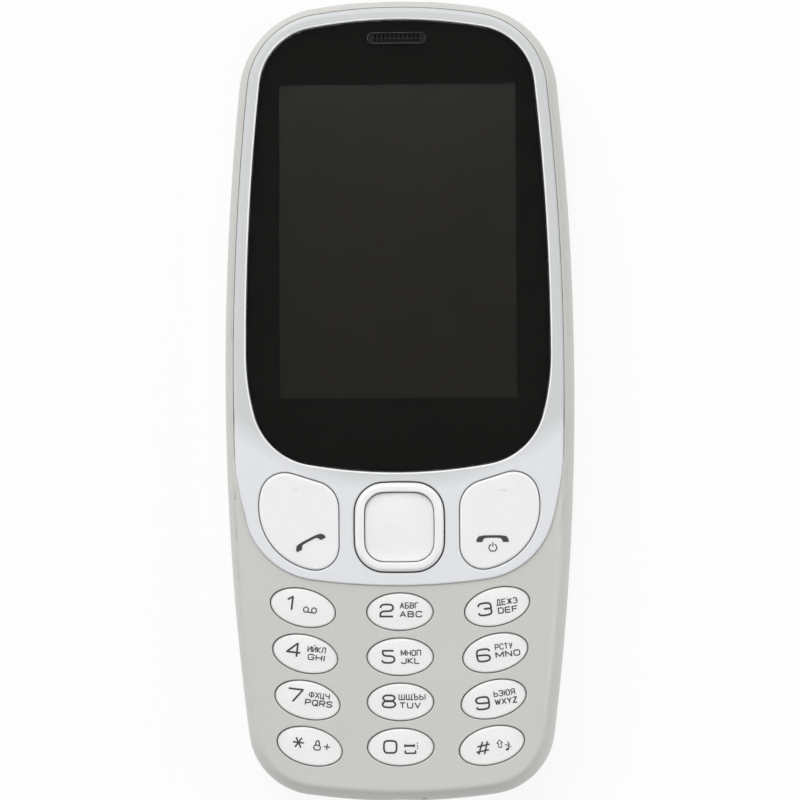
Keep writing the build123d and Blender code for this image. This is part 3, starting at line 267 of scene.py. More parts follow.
def grillePaint():
    # the sprayed steel mesh of the earpiece
    finish, tree, shader = newFinish("grillePaint", IOR=1.5, Specular_IOR_Level=0.25)
    colored(tree, shader, mottle(tree, 0.3 * mm, 3), (10, 10, 9), (17, 16, 16))
    roughened(tree, shader, mottle(tree, 0.1 * mm), 0.5, 0.65)
    return finish


def sleevePlating():
    # black nickel round the earpiece slot
    finish, tree, shader = newFinish("sleevePlating", Metallic=1.0)
    grain = mottle(tree, 0.1 * mm, 3)
    colored(tree, shader, grain, (118, 118, 119), (130, 130, 131))
    roughened(tree, shader, grain, 0.25, 0.35)
    return finish


def speakerCloth():
    # fine black cloth, threads over and under
    finish, tree, shader = newFinish("speakerCloth", IOR=1.45, Roughness=0.8, Sheen_Weight=0.2)
    weave = bricks(tree, shader, 0.22 * mm, 0.12, 1, 0.5, [(30, 30, 31), (38, 38, 39), (8, 8, 8)])
    relief(tree, shader, weave, 0.03 * mm, -0.6)
    return finish


def lensCoating():
    # dark glass with the violet and green of its coating
    finish, tree, shader = newFinish("lensCoating", IOR=1.6, Roughness=0.04, Coat_Weight=1.0,
                                     Coat_Roughness=0.02)
    facing = tree.nodes.new("ShaderNodeLayerWeight")
    facing.inputs["Blend"].default_value = 0.35
    colored(tree, shader, facing.outputs["Facing"], (34, 20, 58), (20, 62, 52))
    return finish


def chipResin():
    finish, tree, shader = newFinish("chipResin", IOR=1.5)
    colored(tree, shader, mottle(tree, 0.2 * mm, 3), (34, 34, 35), (44, 44, 45))
    fine = mottle(tree, 0.08 * mm, 3)
    roughened(tree, shader, fine, 0.5, 0.65)
    relief(tree, shader, fine, 0.004 * mm, 0.5)
    return finish


def ceramicChip():
    # tan ceramic of the small capacitors
    finish, tree, shader = newFinish("ceramicChip", IOR=1.5, Roughness=0.45)
    colored(tree, shader, mottle(tree, 0.3 * mm, 3), (150, 118, 84), (176, 146, 110))
    return finish


def palePrint():
    finish, tree, shader = newFinish("palePrint", IOR=1.45, Roughness=0.5)
    colored(tree, shader, mottle(tree, 0.5 * mm, 3), (206, 208, 210), (216, 218, 220))
    return finish


def panelGlass():
    # the display's own glass: dark, with the fine grid of its dots
    finish, tree, shader = newFinish("panelGlass", IOR=1.5, Roughness=0.22)
    bricks(tree, shader, 0.143 * mm, 0.06, 1, 1, [(46, 42, 32), (43, 40, 31), (29, 27, 22)], offset=0)
    return finish


def lightGuide():
    # white dots that scatter the light of the lamps beside them
    finish, tree, shader = newFinish("lightGuide", IOR=1.49, Roughness=0.35)
    dots = between(tree, flakes(tree, 0.5 * mm), 0, 1, 0.15, 0.3)
    colored(tree, shader, dots, (244, 244, 238), (226, 228, 224))
    relief(tree, shader, dots, 0.01 * mm, 0.4)
    return finish


def framePlastic():
    # glass-filled grey plastic of the chassis, flow marks and a coarser grain
    finish, tree, shader = newFinish("framePlastic", IOR=1.5)
    flow = mottle(tree, 3 * mm, 3, surfacePoints(tree, stretch=(1, 0.25, 1)))
    colored(tree, shader, flow, (92, 94, 95), (108, 110, 111))
    fine = mottle(tree, 0.18 * mm, 4)
    roughened(tree, shader, fine, 0.45, 0.62)
    relief(tree, shader, fine, 0.01 * mm, 0.5)
    return finish


def boardLacquer():
    # green solder lacquer over copper tracks that run along and across
    finish, tree, shader = newFinish("boardLacquer", IOR=1.5, Roughness=0.35, Coat_Weight=0.4,
                                     Coat_Roughness=0.12)
    tracks = bricks(tree, shader, 1.6 * mm, 0.09, 2.6, 0.5, [(22, 84, 58), (26, 92, 64), (44, 122, 82)])
    relief(tree, shader, tracks, 0.02 * mm, 0.6)
    return finish


def ribbonFilm():
    # amber film with fine copper lines along it
    finish, tree, shader = newFinish("ribbonFilm", IOR=1.5, Roughness=0.3)
    lines = tree.nodes.new("ShaderNodeTexWave")
    lines.inputs["Scale"].default_value = 1 / (3.2 * mm)
    lines.inputs["Distortion"].default_value = 0
    tree.links.new(surfacePoints(tree), lines.inputs["Vector"])
    copper = between(tree, lines.outputs["Fac"], 0, 1, 0.55, 0.65)
    colored(tree, shader, copper, (176, 112, 40), (204, 142, 66))
    relief(tree, shader, copper, 0.01 * mm, 0.5)
    return finish


def platedSteel():
    # tin-plated sheet with a rolled grain
    finish, tree, shader = newFinish("platedSteel", Metallic=1.0)
    grain = mottle(tree, 0.08 * mm, 3, surfacePoints(tree, stretch=(1, 0.05, 1)))
    colored(tree, shader, grain, (196, 197, 196), (212, 213, 212))
    roughened(tree, shader, grain, 0.26, 0.42)
    relief(tree, shader, grain, 0.003 * mm, 0.4)
    return finish


def screwSteel():
    finish, tree, shader = newFinish("screwSteel", Metallic=1.0)
    grain = mottle(tree, 0.1 * mm, 3)
    colored(tree, shader, grain, (150, 150, 152), (176, 176, 178))
    roughened(tree, shader, grain, 0.25, 0.40)
    return finish


def weightMetal():
    # sintered tungsten, dull and a little pitted
    finish, tree, shader = newFinish("weightMetal", Metallic=1.0)
    pits = mottle(tree, 0.12 * mm, 4)
    colored(tree, shader, pits, (112, 110, 108), (134, 132, 130))
    roughened(tree, shader, pits, 0.38, 0.55)
    relief(tree, shader, pits, 0.01 * mm, 0.6)
    return finish


def contactGold():
    finish, tree, shader = newFinish("contactGold", Metallic=1.0)
    grain = mottle(tree, 0.2 * mm, 3)
    colored(tree, shader, grain, (214, 172, 92), (228, 190, 112))
    roughened(tree, shader, grain, 0.2, 0.34)
    return finish


def keypadSilicone():
    # milky rubber with a dry, even skin
    finish, tree, shader = newFinish("keypadSilicone", IOR=1.41, Sheen_Weight=0.1)
    colored(tree, shader, mottle(tree, 5 * mm), (206, 207, 205), (216, 217, 214))
    fine = mottle(tree, 0.2 * mm, 3)
    roughened(tree, shader, fine, 0.55, 0.7)
    relief(tree, shader, fine, 0.008 * mm, 0.4)
    return finish


def batteryWrap():
    # printed film round the cell, slightly rippled
    finish, tree, shader = newFinish("batteryWrap", IOR=1.5)
    colored(tree, shader, mottle(tree, 6 * mm, 2), (70, 72, 76), (78, 80, 84))
    ripple = mottle(tree, 2.5 * mm, 2)
    roughened(tree, shader, ripple, 0.3, 0.42)
    relief(tree, shader, ripple, 0.02 * mm, 0.4)
    return finish


numberKeys = ["key_" + name for name in "1 2 3 4 5 6 7 8 9 star 0 hash".split()]
ink = legendInk()
paleInk = faintInk()
dress(shellPlastic(), "rear_cover", "front_housing")
dress(bezelLacquerAndShade(), "display_bezel")
dress(keycapPlastic(), *numberKeys, "call_key", "end_key", "nav_ring", "select_key")
dress(clearWindow(), "display_window", "camera_lens_window")
dress(blackPrint(), "window_tape", "display_gasket", "earpiece_receiver", "loudspeaker", "microphone",
      "audio_jack", "display_connector", "camera_module")
dress(panelGlass(), "display_panel")
dress(lightGuide(), "display_backlight", "keypad_lamps")
dress(framePlastic(), "chassis_frame", "nav_carrier", "antenna_carrier", "battery_contacts")
dress(boardLacquer(), "main_board")
dress(ribbonFilm(), "display_flex", "dome_sheet")
dress(keypadSilicone(), "keypad_mat")
dress(batteryWrap(), "battery")
slotFinishes = {
    "plated_steel": platedSteel(),
    "screw_steel": screwSteel(),
    "weight_metal": weightMetal(),
    "contact_gold": contactGold(),
}
for part in frame["record"]["subparts"]:
    if part["material_slot"] in slotFinishes:
        dress(slotFinishes[part["material_slot"]], part["node"])
dress(grillePaint(), "earpiece_grille")
print("finishes on:", len(bpy.data.materials))


# the print inside the window and a painted highlight on the bezel's edge round it

windowSizes = {
    "view": (34.3 * mm, 45.6 * mm),
    "viewMiddle": 22.85 * mm,
    "printDepth": 0.02 * mm,
    "printInset": 0.3,  # how far the print starts inside the pane, in print depths
    "printSlope": 0.97,  # a face that looks up more than this carries no print
    "lipReach": 0.43 * mm,  # as far from the window as the lip's rounding goes
    "lipBottom": 12.3 * mm,
    "lipSlopes": (0.05, 0.995),  # how much the faces of that rounding look up
    "lipSkin": 0.012 * mm,
    "slotMargin": 0.3 * mm,  # the slot's wall is looked for this far round the grille
    "slotSlope": 0.1,  # a wall's face looks up less than this
    "sleeveOut": 0.04 * mm,
    "sleeveSkin": 0.035 * mm,
}


def copied(name):
    # a node's mesh with its doubles merged
    built = bmesh.new()
    built.from_mesh(nodes[name].data)
    bmesh.ops.remove_doubles(built, verts=built.verts, dist=0.001 * mm)
    built.normal_update()
    return built


def linked(name, data):
    holder = bpy.data.objects.new(name, data)
    bpy.context.scene.collection.objects.link(holder)
    return holder


def shaped(name, built, finish):
    # an object with that mesh and finish
    shape = bpy.data.meshes.new(name)
    built.to_mesh(shape)
    built.free()
    shape.materials.append(finish)
    return linked(name, shape)


def newPiece(name, built, slot, finish=None, body="phone_body"):
    # the piece wears the slot's own finish unless it is given another
    piece = shaped(name, built, finish or slotFinishes[slot])
    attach(piece, body)


def solid(built, depth):
    # thickens an open skin by that depth on the side its normals leave
    bmesh.ops.solidify(built, geom=built.faces[:], thickness=depth)
    bmesh.ops.recalc_face_normals(built, faces=built.faces)


def windowPrint():
    built = copied("display_window")
    flatTop = [face for face in built.faces if face.normal.z > windowSizes["printSlope"]]
    bmesh.ops.delete(built, geom=flatTop, context="FACES")
    width, height = windowSizes["view"]
    middle = windowSizes["viewMiddle"]
    for place, normal in (((width / 2, 0, 0), (1, 0, 0)), ((-width / 2, 0, 0), (1, 0, 0)),
                          ((0, middle + height / 2, 0), (0, 1, 0)), ((0, middle - height / 2, 0), (0, 1, 0))):
        bmesh.ops.bisect_plane(built, geom=built.verts[:] + built.edges[:] + built.faces[:],
                               plane_co=place, plane_no=normal, dist=0.0001 * mm)
    seen = [face for face in built.faces
            if abs(face.calc_center_median().x) < width / 2
            and abs(face.calc_center_median().y - middle) < height / 2]
    bmesh.ops.delete(built, geom=seen, context="FACES")
    built.normal_update()
    for vert in built.verts:
        vert.co -= vert.normal * windowSizes["printDepth"] * windowSizes["printInset"]
    solid(built, windowSizes["printDepth"])
    newPiece("window_border", built, "black_trim", borderPrint())


def windowLipHighlight():
    # a painted highlight: the bezel's rounded faces next to the window, copied as a thin bright skin just
    # above them
    built = copied("display_bezel")
    window = BVHTree.FromBMesh(copied("display_window"))
    least, most = windowSizes["lipSlopes"]
    away = []
    for face in built.faces:
        near = all(window.find_nearest(vert.co)[3] < windowSizes["lipReach"] for vert in face.verts)
        high = min(vert.co.z for vert in face.verts) > windowSizes["lipBottom"]
        if not (near and high and least < face.normal.z < most):
            away.append(face)
    bmesh.ops.delete(built, geom=away, context="FACES")
    built.normal_update()
    for vert in built.verts:
        vert.co += vert.normal * windowSizes["lipSkin"]
    solid(built, windowSizes["lipSkin"])
    newPiece("window_lip_highlight", built, "bezel", lipHighlightPaint())


def earpieceSleeve():
    # the thin plated edge of the slot in the window
    built = copied("display_window")
    slotLow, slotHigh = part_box("earpiece_grille")
    margin = windowSizes["slotMargin"]
    away = []
    for face in built.faces:
        middle = face.calc_center_median()
        inside = (slotLow.x - margin < middle.x < slotHigh.x + margin
                  and slotLow.y - margin < middle.y < slotHigh.y + margin)
        if not (inside and abs(face.normal.z) < windowSizes["slotSlope"]):
            away.append(face)
    bmesh.ops.delete(built, geom=away, context="FACES")
    built.normal_update()
    for vert in built.verts:
        vert.co += vert.normal * windowSizes["sleeveOut"]
    solid(built, windowSizes["sleeveSkin"])
    newPiece("earpiece_sleeve", built, "plated_steel", sleevePlating())


windowPrint()
windowLipHighlight()
earpieceSleeve()
print("window finished")


# small things behind the openings and on the underside of the board

def addBlock(built, low, high, rounding=0):
    # a box between two corners, given in millimetres
    size = [high[axis] - low[axis] for axis in range(3)]
    middle = [(high[axis] + low[axis]) / 2 for axis in range(3)]
    place = Matrix.Translation(Vector(middle) * mm) @ Matrix.Diagonal((*[side * mm for side in size], 1))
    made = bmesh.ops.create_cube(built, size=1, matrix=place)
    if rounding:
        edges = {edge for vert in made["verts"] for edge in vert.link_edges}
        bmesh.ops.bevel(built, geom=list(edges), offset=rounding * mm, offset_type="OFFSET", segments=2,
                        profile=0.5, affect="EDGES", material=-1)


def addDisc(built, middle, radii, height):
    # a flattened ball, given in millimetres
    size = Matrix.Diagonal((radii[0] * mm, radii[1] * mm, height * mm, 1))
    place = Matrix.Translation(Vector(middle) * mm) @ size
    bmesh.ops.create_uvsphere(built, u_segments=40, v_segments=20, radius=1, matrix=place)


def addRing(built, middle, radius, thickness, axis):
    # a round wire bent to a ring: its section spun once about the axis, in millimetres
    place = Vector(middle) * mm
    outward = Vector((1, 0, 0))
    section = Matrix((outward, axis, outward.cross(axis))).transposed().to_4x4()
    made = bmesh.ops.create_circle(built, segments=12, radius=thickness / 2 * mm,
                                   matrix=Matrix.Translation(place + outward * radius * mm) @ section)
    edges = {edge for vert in made["verts"] for edge in vert.link_edges}
    bmesh.ops.spin(built, geom=made["verts"] + list(edges), cent=place, axis=axis, angle=math.tau,
                   steps=48, use_merge=True)
    bmesh.ops.recalc_face_normals(built, faces=built.faces)


speakerSizes = {
    "clothLow": (-7.2, 24.4, 1.11),
    "clothHigh": (7.2, 33.6, 1.28),
    "clothEdge": 0.05,
    "coneMiddle": (0, 29, 3.40),
    "coneRadii": (4.6, 2.7),
    "coneHeight": 0.55,
}


def speakerParts():
    built = bmesh.new()
    addBlock(built, speakerSizes["clothLow"], speakerSizes["clothHigh"], speakerSizes["clothEdge"])
    newPiece("speaker_cloth", built, "black_trim", speakerCloth(), "rear_cover")
    built = bmesh.new()
    addDisc(built, speakerSizes["coneMiddle"], speakerSizes["coneRadii"], speakerSizes["coneHeight"])
    newPiece("speaker_cone", built, "black_trim", chipResin())


cameraSizes = {
    "middle": (0, 43.0),
    "glass": (3.50, 1.02, 0.42),  # height, radius and bulge of the front lens
    "ring": (2.67, 1.75, 0.14),  # height, radius and wire of the ring round it
}


def cameraParts():
    x, y = cameraSizes["middle"]
    height, radius, bulge = cameraSizes["glass"]
    built = bmesh.new()
    addDisc(built, (x, y, height), (radius, radius), bulge)
    newPiece("camera_front_lens", built, "window", lensCoating())
    height, radius, wire = cameraSizes["ring"]
    built = bmesh.new()
    addRing(built, (x, y, height), radius, wire, Vector((0, 0, 1)))
    newPiece("camera_front_ring", built, "screw_steel")


chargerSizes = {
    "pitch": 0.65,
    "width": 0.36,
    "ends": (51.0, 54.4),
    "heights": (6.10, 6.18),  # the tongue's underside lies between them
    "edge": 0.015,
}


def chargerPins():
    built = bmesh.new()
    half = chargerSizes["width"] / 2
    start, stop = chargerSizes["ends"]
    low, high = chargerSizes["heights"]
    for index in range(-2, 3):
        x = index * chargerSizes["pitch"]
        addBlock(built, (x - half, start, low), (x + half, stop, high), chargerSizes["edge"])
    newPiece("charging_pins", built, "contact_gold")


collarSizes = {"places": (-55.42, -53.2, -50.9), "height": 5.15, "radius": 1.72, "wire": 0.16}


def headsetCollar():
    # sprung rings along the bore of the headset socket
    built = bmesh.new()
    height, radius, wire = collarSizes["height"], collarSizes["radius"], collarSizes["wire"]
    for y in collarSizes["places"]:
        addRing(built, (0, y, height), radius, wire, Vector((0, 1, 0)))
    newPiece("headset_collar", built, "plated_steel")


cardSizes = {
    "top": 7.27,  # the underside of each socket's roof
    "bed": 0.22,
    "finger": 0.30,
    "edges": (0.06, 0.04, 0.03),  # of the beds, the SIM springs and the card springs
    "simMiddles": [(-8.4, -18.5), (8.4, -18.5)],
    "simBed": (11.6, 14.0),
    "simPitch": (3.429, 4.6),
    "simFinger": (1.5, 2.6),
    "cardMiddle": (0, 5.5),
    "cardBed": (10.0, 9.4),
    "cardCount": 8,
    "cardPitch": 1.1,
    "cardFinger": (0.66, 4.2),
    "cardShift": -1.2,  # of the springs from the middle of their bed
}


def cardContacts():
    # black beds with their gold springs in the two SIM trays and the card's
    beds = bmesh.new()
    springs = bmesh.new()
    top = cardSizes["top"]
    low = top - cardSizes["bed"]
    tip = top - cardSizes["finger"]
    bedEdge, simEdge, cardEdge = cardSizes["edges"]

    def put(built, x, y, size, floor, rounding):
        width, depth = size
        addBlock(built, (x - width / 2, y - depth / 2, floor), (x + width / 2, y + depth / 2, top), rounding)

    stepX, stepY = cardSizes["simPitch"]
    for x, y in cardSizes["simMiddles"]:
        put(beds, x, y, cardSizes["simBed"], low, bedEdge)
        for column in (-1, 0, 1):
            for row in (-0.5, 0.5):
                put(springs, x + column * stepX, y + row * stepY, cardSizes["simFinger"], tip, simEdge)
    x, y = cardSizes["cardMiddle"]
    put(beds, x, y, cardSizes["cardBed"], low, bedEdge)
    for index in range(cardSizes["cardCount"]):
        offset = (index - (cardSizes["cardCount"] - 1) / 2) * cardSizes["cardPitch"]
        put(springs, x + offset, y + cardSizes["cardShift"], cardSizes["cardFinger"], tip, cardEdge)
    newPiece("card_beds", beds, "black_trim", chipResin())
    newPiece("card_springs", springs, "contact_gold")


boardSizes = {
    "underside": 7.51,
    "chips": [((8.2, 5.0), (5.6, 5.6)), ((-13.6, 4.6), (5.4, 6.2)),  # corner and size
              ((9.4, 12.6), (3.4, 2.6)), ((-9.8, 13.2), (2.6, 2.2))],
    "chipHeight": 0.62,
    "chipEdge": 0.05,
    "capacitor": (0.62, 1.05, 0.48),
    "capacitorRows": [((7.6, 1.2), 7), ((-13.8, 1.2), 7), ((9.6, 16.2), 5), ((-13.8, 12.6), 4)],
    "capacitorPitch": 1.05,
    "capacitorEdge": 0.03,
    "solder": 0.26,  # length of a solder end
    "overlap": 0.04,  # how far the ceramic reaches into it
    "proud": 0.02,  # how far the end stands off the ceramic
}


def boardParts():
    chips = bmesh.new()
    bodies = bmesh.new()
    caps = bmesh.new()
    top = boardSizes["underside"]
    low = top - boardSizes["chipHeight"]
    for (x, y), (width, depth) in boardSizes["chips"]:
        addBlock(chips, (x, y, low), (x + width, y + depth, top), boardSizes["chipEdge"])
    width, depth, height = boardSizes["capacitor"]
    solder, proud, edge = boardSizes["solder"], boardSizes["proud"], boardSizes["capacitorEdge"]
    bare = solder - boardSizes["overlap"]
    low = top - height
    for (x, y), count in boardSizes["capacitorRows"]:
        for index in range(count):
            left = x + index * boardSizes["capacitorPitch"]
            right = left + width
            addBlock(bodies, (left, y + bare, low), (right, y + depth - bare, top), edge)
            for end in (y, y + depth - solder):
                addBlock(caps, (left - proud, end, low - proud), (right + proud, end + solder, top), edge)
    newPiece("board_chips", chips, "black_trim", chipResin())
    newPiece("board_capacitors", bodies, "frame_plastic", ceramicChip())
    newPiece("board_solder_ends", caps, "plated_steel")


batterySizes = {
    "faces": (1.3, 6.3),
    "plus": (-2.9, 14.6),
    "minus": (2.9, 14.6),
    "arm": 1.0,
    "stroke": 0.36,
    "skin": 0.03,
}


def batteryMarks():
    # plus and minus beside their terminals, printed on both faces
    built = bmesh.new()
    arm, stroke, skin = batterySizes["arm"], batterySizes["stroke"] / 2, batterySizes["skin"]
    for face in batterySizes["faces"]:
        low, high = face - skin, face + skin
        for x, y in (batterySizes["plus"], batterySizes["minus"]):
            addBlock(built, (x - arm, y - stroke, low), (x + arm, y + stroke, high))
        x, y = batterySizes["plus"]
        addBlock(built, (x - stroke, y + stroke, low), (x + stroke, y + arm, high))
        addBlock(built, (x - stroke, y - arm, low), (x + stroke, y - stroke, high))
    newPiece("battery_marks", built, "battery_case", palePrint(), "battery")


speakerParts()
cameraParts()
chargerPins()
headsetCollar()
cardContacts()
boardParts()
batteryMarks()
print("small parts placed")


# marks on the keys: round strokes pressed flat on the key's skin

markSizes = {
    "digitStroke": 0.27 * mm,
    "boldStroke": 0.23 * mm,
    "iconStroke": 0.17 * mm,
    "thinStroke": 0.12 * mm,
    "letterGap": 0.42,  # between letters, as a share of a letter's width
    "proud": 0.022 * mm,  # how far a mark stands off the skin
    "cell": (1.84 * mm, 1.74 * mm),
    "upper": (0.92 * mm, 0.15 * mm),  # height and stroke of the small letters
    "lower": (0.92 * mm, 0.17 * mm),
    "softStroke": 0.3 * mm,
    "merge": 0.0005 * mm,
    "reach": 50 * mm,  # from this height the key's skin is looked for
    "cornerShare": 0.40,  # a rounding takes at most this share of a side
}

# how far from a corner its rounding starts
cornerSizes = {"digit": 0.30 * mm, "letter": 0.13 * mm, "icon": 0.20 * mm, "fill": 0.12 * mm,
               "side": 0.35 * mm, "soft": 0.1 * mm}


# one digit's strokes in a cell one wide and one high; a third value of 0 keeps a corner sharp
digitPaths = {
    "0": [[(0.5, 0), (1, 0), (1, 1), (0, 1), (0, 0), (0.5, 0)]],
    "1": [[(0.18, 0.76), (0.56, 1.04, 0), (0.56, -0.07)]],
    "2": [[(0, 0.70), (0.05, 1), (1, 1), (1, 0.44), (0, 0.44), (0, 0, 0), (1, 0)]],
    "3": [[(0, 0.74), (0.05, 1), (1, 1), (1, 0.52)], [(0.42, 0.52), (0.95, 0.52)],
          [(0.86, 0.52), (1, 0.52), (1, 0), (0, 0), (0, 0.24)]],
    "4": [[(0.78, -0.07), (0.78, 1.05, 0), (-0.02, 0.27, 0), (1.04, 0.27)]],
    "5": [[(0.94, 1), (0.08, 1, 0), (0.08, 0.56), (1, 0.56), (1, 0), (0.06, 0), (0.04, 0.22)]],
    "6": [[(1, 0.78), (0.98, 1), (0, 1), (0, 0), (1, 0), (1, 0.52), (0.04, 0.52)]],
    "7": [[(-0.14, 1), (1, 1, 0), (0.28, -0.06)]],
    "8": [[(0.5, 0.54), (0.04, 0.54), (0.04, 1), (0.96, 1), (0.96, 0.54), (0.5, 0.54)],
          [(0.5, 0.50), (1, 0.50), (1, 0), (0, 0), (0, 0.50), (0.5, 0.50)]],
    "9": [[(0, 0.22), (0.02, 0), (1, 0), (1, 1), (0, 1), (0, 0.48), (0.96, 0.48)]],
}

# letters in the same kind of cell
letterPaths = {
    "A": [[(0, 0), (0.5, 1, 0), (1, 0)], [(0.18, 0.3), (0.82, 0.3)]],
    "B": [[(0, 0, 0), (0, 1, 0), (0.92, 1), (0.92, 0.52), (0, 0.52)],
          [(0.6, 0.52), (1, 0.52), (1, 0), (0, 0)]],
    "C": [[(1, 0.74), (1, 1), (0, 1), (0, 0), (1, 0), (1, 0.26)]],
    "D": [[(0, 0, 0), (0, 1, 0), (1, 1), (1, 0), (0, 0, 0)]],
    "E": [[(1, 1), (0, 1, 0), (0, 0, 0), (1, 0)], [(0, 0.5), (0.9, 0.5)]],
    "F": [[(1, 1), (0, 1, 0), (0, 0)], [(0, 0.5), (0.85, 0.5)]],
    "G": [[(1, 0.76), (1, 1), (0, 1), (0, 0), (1, 0), (1, 0.46, 0), (0.55, 0.46)]],
    "H": [[(0, 0), (0, 1)], [(1, 0), (1, 1)], [(0, 0.5), (1, 0.5)]],
    "I": [[(0.5, 0), (0.5, 1)]],
    "J": [[(1, 1), (1, 0), (0, 0), (0, 0.3)]],
    "K": [[(0, 0), (0, 1)], [(0.95, 1), (0.05, 0.5, 0), (1, 0)]],
    "L": [[(0, 1), (0, 0, 0), (1, 0)]],
    "M": [[(0, 0), (0, 1, 0), (0.5, 0.2, 0), (1, 1, 0), (1, 0)]],
    "N": [[(0, 0), (0, 1, 0), (1, 0, 0), (1, 1)]],
    "O": [[(0.5, 0), (1, 0), (1, 1), (0, 1), (0, 0), (0.5, 0)]],
    "P": [[(0, 0), (0, 1, 0), (1, 1), (1, 0.42), (0, 0.42)]],
    "Q": [[(0.5, 0), (1, 0), (1, 1), (0, 1), (0, 0), (0.5, 0)], [(0.58, 0.3), (1.05, -0.1)]],
    "R": [[(0, 0), (0, 1, 0), (1, 1), (1, 0.42), (0, 0.42)], [(0.5, 0.42), (1, 0)]],
    "S": [[(1, 0.8), (1, 1), (0, 1), (0, 0.5), (1, 0.5), (1, 0), (0, 0), (0, 0.2)]],
    "T": [[(0, 1), (1, 1)], [(0.5, 1), (0.5, 0)]],
    "U": [[(0, 1), (0, 0), (1, 0), (1, 1)]],
    "V": [[(0, 1), (0.5, 0, 0), (1, 1)]],
    "W": [[(0, 1), (0.27, 0, 0), (0.5, 0.8, 0), (0.73, 0, 0), (1, 1)]],
    "X": [[(0, 0), (1, 1)], [(0, 1), (1, 0)]],
    "Y": [[(0, 1), (0.5, 0.45, 0), (1, 1)], [(0.5, 0.45), (0.5, 0)]],
    "Z": [[(0, 1), (1, 1, 0), (0, 0, 0), (1, 0)]],
    "Б": [[(0.9, 1), (0, 1, 0), (0, 0, 0), (1, 0), (1, 0.55), (0, 0.55)]],
    "Г": [[(1, 1), (0, 1, 0), (0, 0)]],
    "Д": [[(0.2, 0), (0.32, 1, 0), (0.84, 1, 0), (0.84, 0)],
          [(0, -0.2), (0, 0, 0), (1.02, 0, 0), (1.02, -0.2)]],
    "Ж": [[(0.5, 0), (0.5, 1)], [(0, 1), (0.46, 0.5, 0), (0, 0)], [(1, 1), (0.54, 0.5, 0), (1, 0)]],
    "З": [[(0, 0.84), (0.05, 1), (0.95, 1), (0.95, 0.52), (0.4, 0.52)],
          [(0.6, 0.52), (1, 0.52), (1, 0), (0, 0), (0, 0.18)]],
    "И": [[(0, 1), (0, 0, 0), (1, 1, 0), (1, 0)]],
    "Й": [[(0, 1), (0, 0, 0), (1, 1, 0), (1, 0)], [(0.28, 1.26), (0.72, 1.26)]],
    "Л": [[(0, 0), (0.26, 1, 0), (1, 1, 0), (1, 0)]],
    "П": [[(0, 0), (0, 1, 0), (1, 1, 0), (1, 0)]],
    "У": [[(0, 1), (0.5, 0.34)], [(1, 1), (0.4, 0), (0.1, 0)]],
    "Ф": [[(0.5, -0.06), (0.5, 1.06)], [(0.5, 0.84), (1, 0.84), (1, 0.2), (0, 0.2), (0, 0.84), (0.5, 0.84)]],
    "Ц": [[(0, 1), (0, 0, 0), (1, 0, 0), (1, -0.2)], [(0.82, 0), (0.82, 1)]],
    "Ч": [[(0, 1), (0, 0.45), (1, 0.45)], [(1, 1), (1, 0)]],
    "Ш": [[(0, 1), (0, 0, 0), (1, 0, 0), (1, 1)], [(0.5, 0), (0.5, 1)]],
    "Щ": [[(0, 1), (0, 0, 0), (1.08, 0, 0), (1.08, -0.2)], [(0.47, 0), (0.47, 1)], [(0.94, 0), (0.94, 1)]],
    "Ъ": [[(-0.12, 1), (0.2, 1, 0), (0.2, 0, 0), (1, 0), (1, 0.55), (0.2, 0.55)]],
    "Ы": [[(0, 1), (0, 0, 0), (0.66, 0), (0.66, 0.55), (0, 0.55)], [(1, 0), (1, 1)]],
    "Ь": [[(0, 1), (0, 0, 0), (1, 0), (1, 0.55), (0, 0.55)]],
    "Э": [[(0, 0.8), (0, 1), (1, 1), (1, 0), (0, 0), (0, 0.2)], [(0.35, 0.5), (1, 0.5)]],
    "Ю": [[(0, 0), (0, 1)], [(0, 0.5), (0.35, 0.5)],
          [(0.67, 0), (1, 0), (1, 1), (0.35, 1), (0.35, 0), (0.67, 0)]],
    "Я": [[(1, 0), (1, 1, 0), (0, 1), (0, 0.45), (1, 0.45)], [(0.45, 0.45), (0, 0)]],
}
sameLetter = dict(zip("АВЕКМНОРСТХ", "ABEKMHOPCTX"))
letterWidths = {"I": 0.05, "M": 1.25, "М": 1.2, "W": 1.35, "Г": 0.85, "Ж": 1.3, "Ф": 1.3, "Ш": 1.3,
                "Щ": 1.3, "Ы": 1.2, "Ю": 1.35}

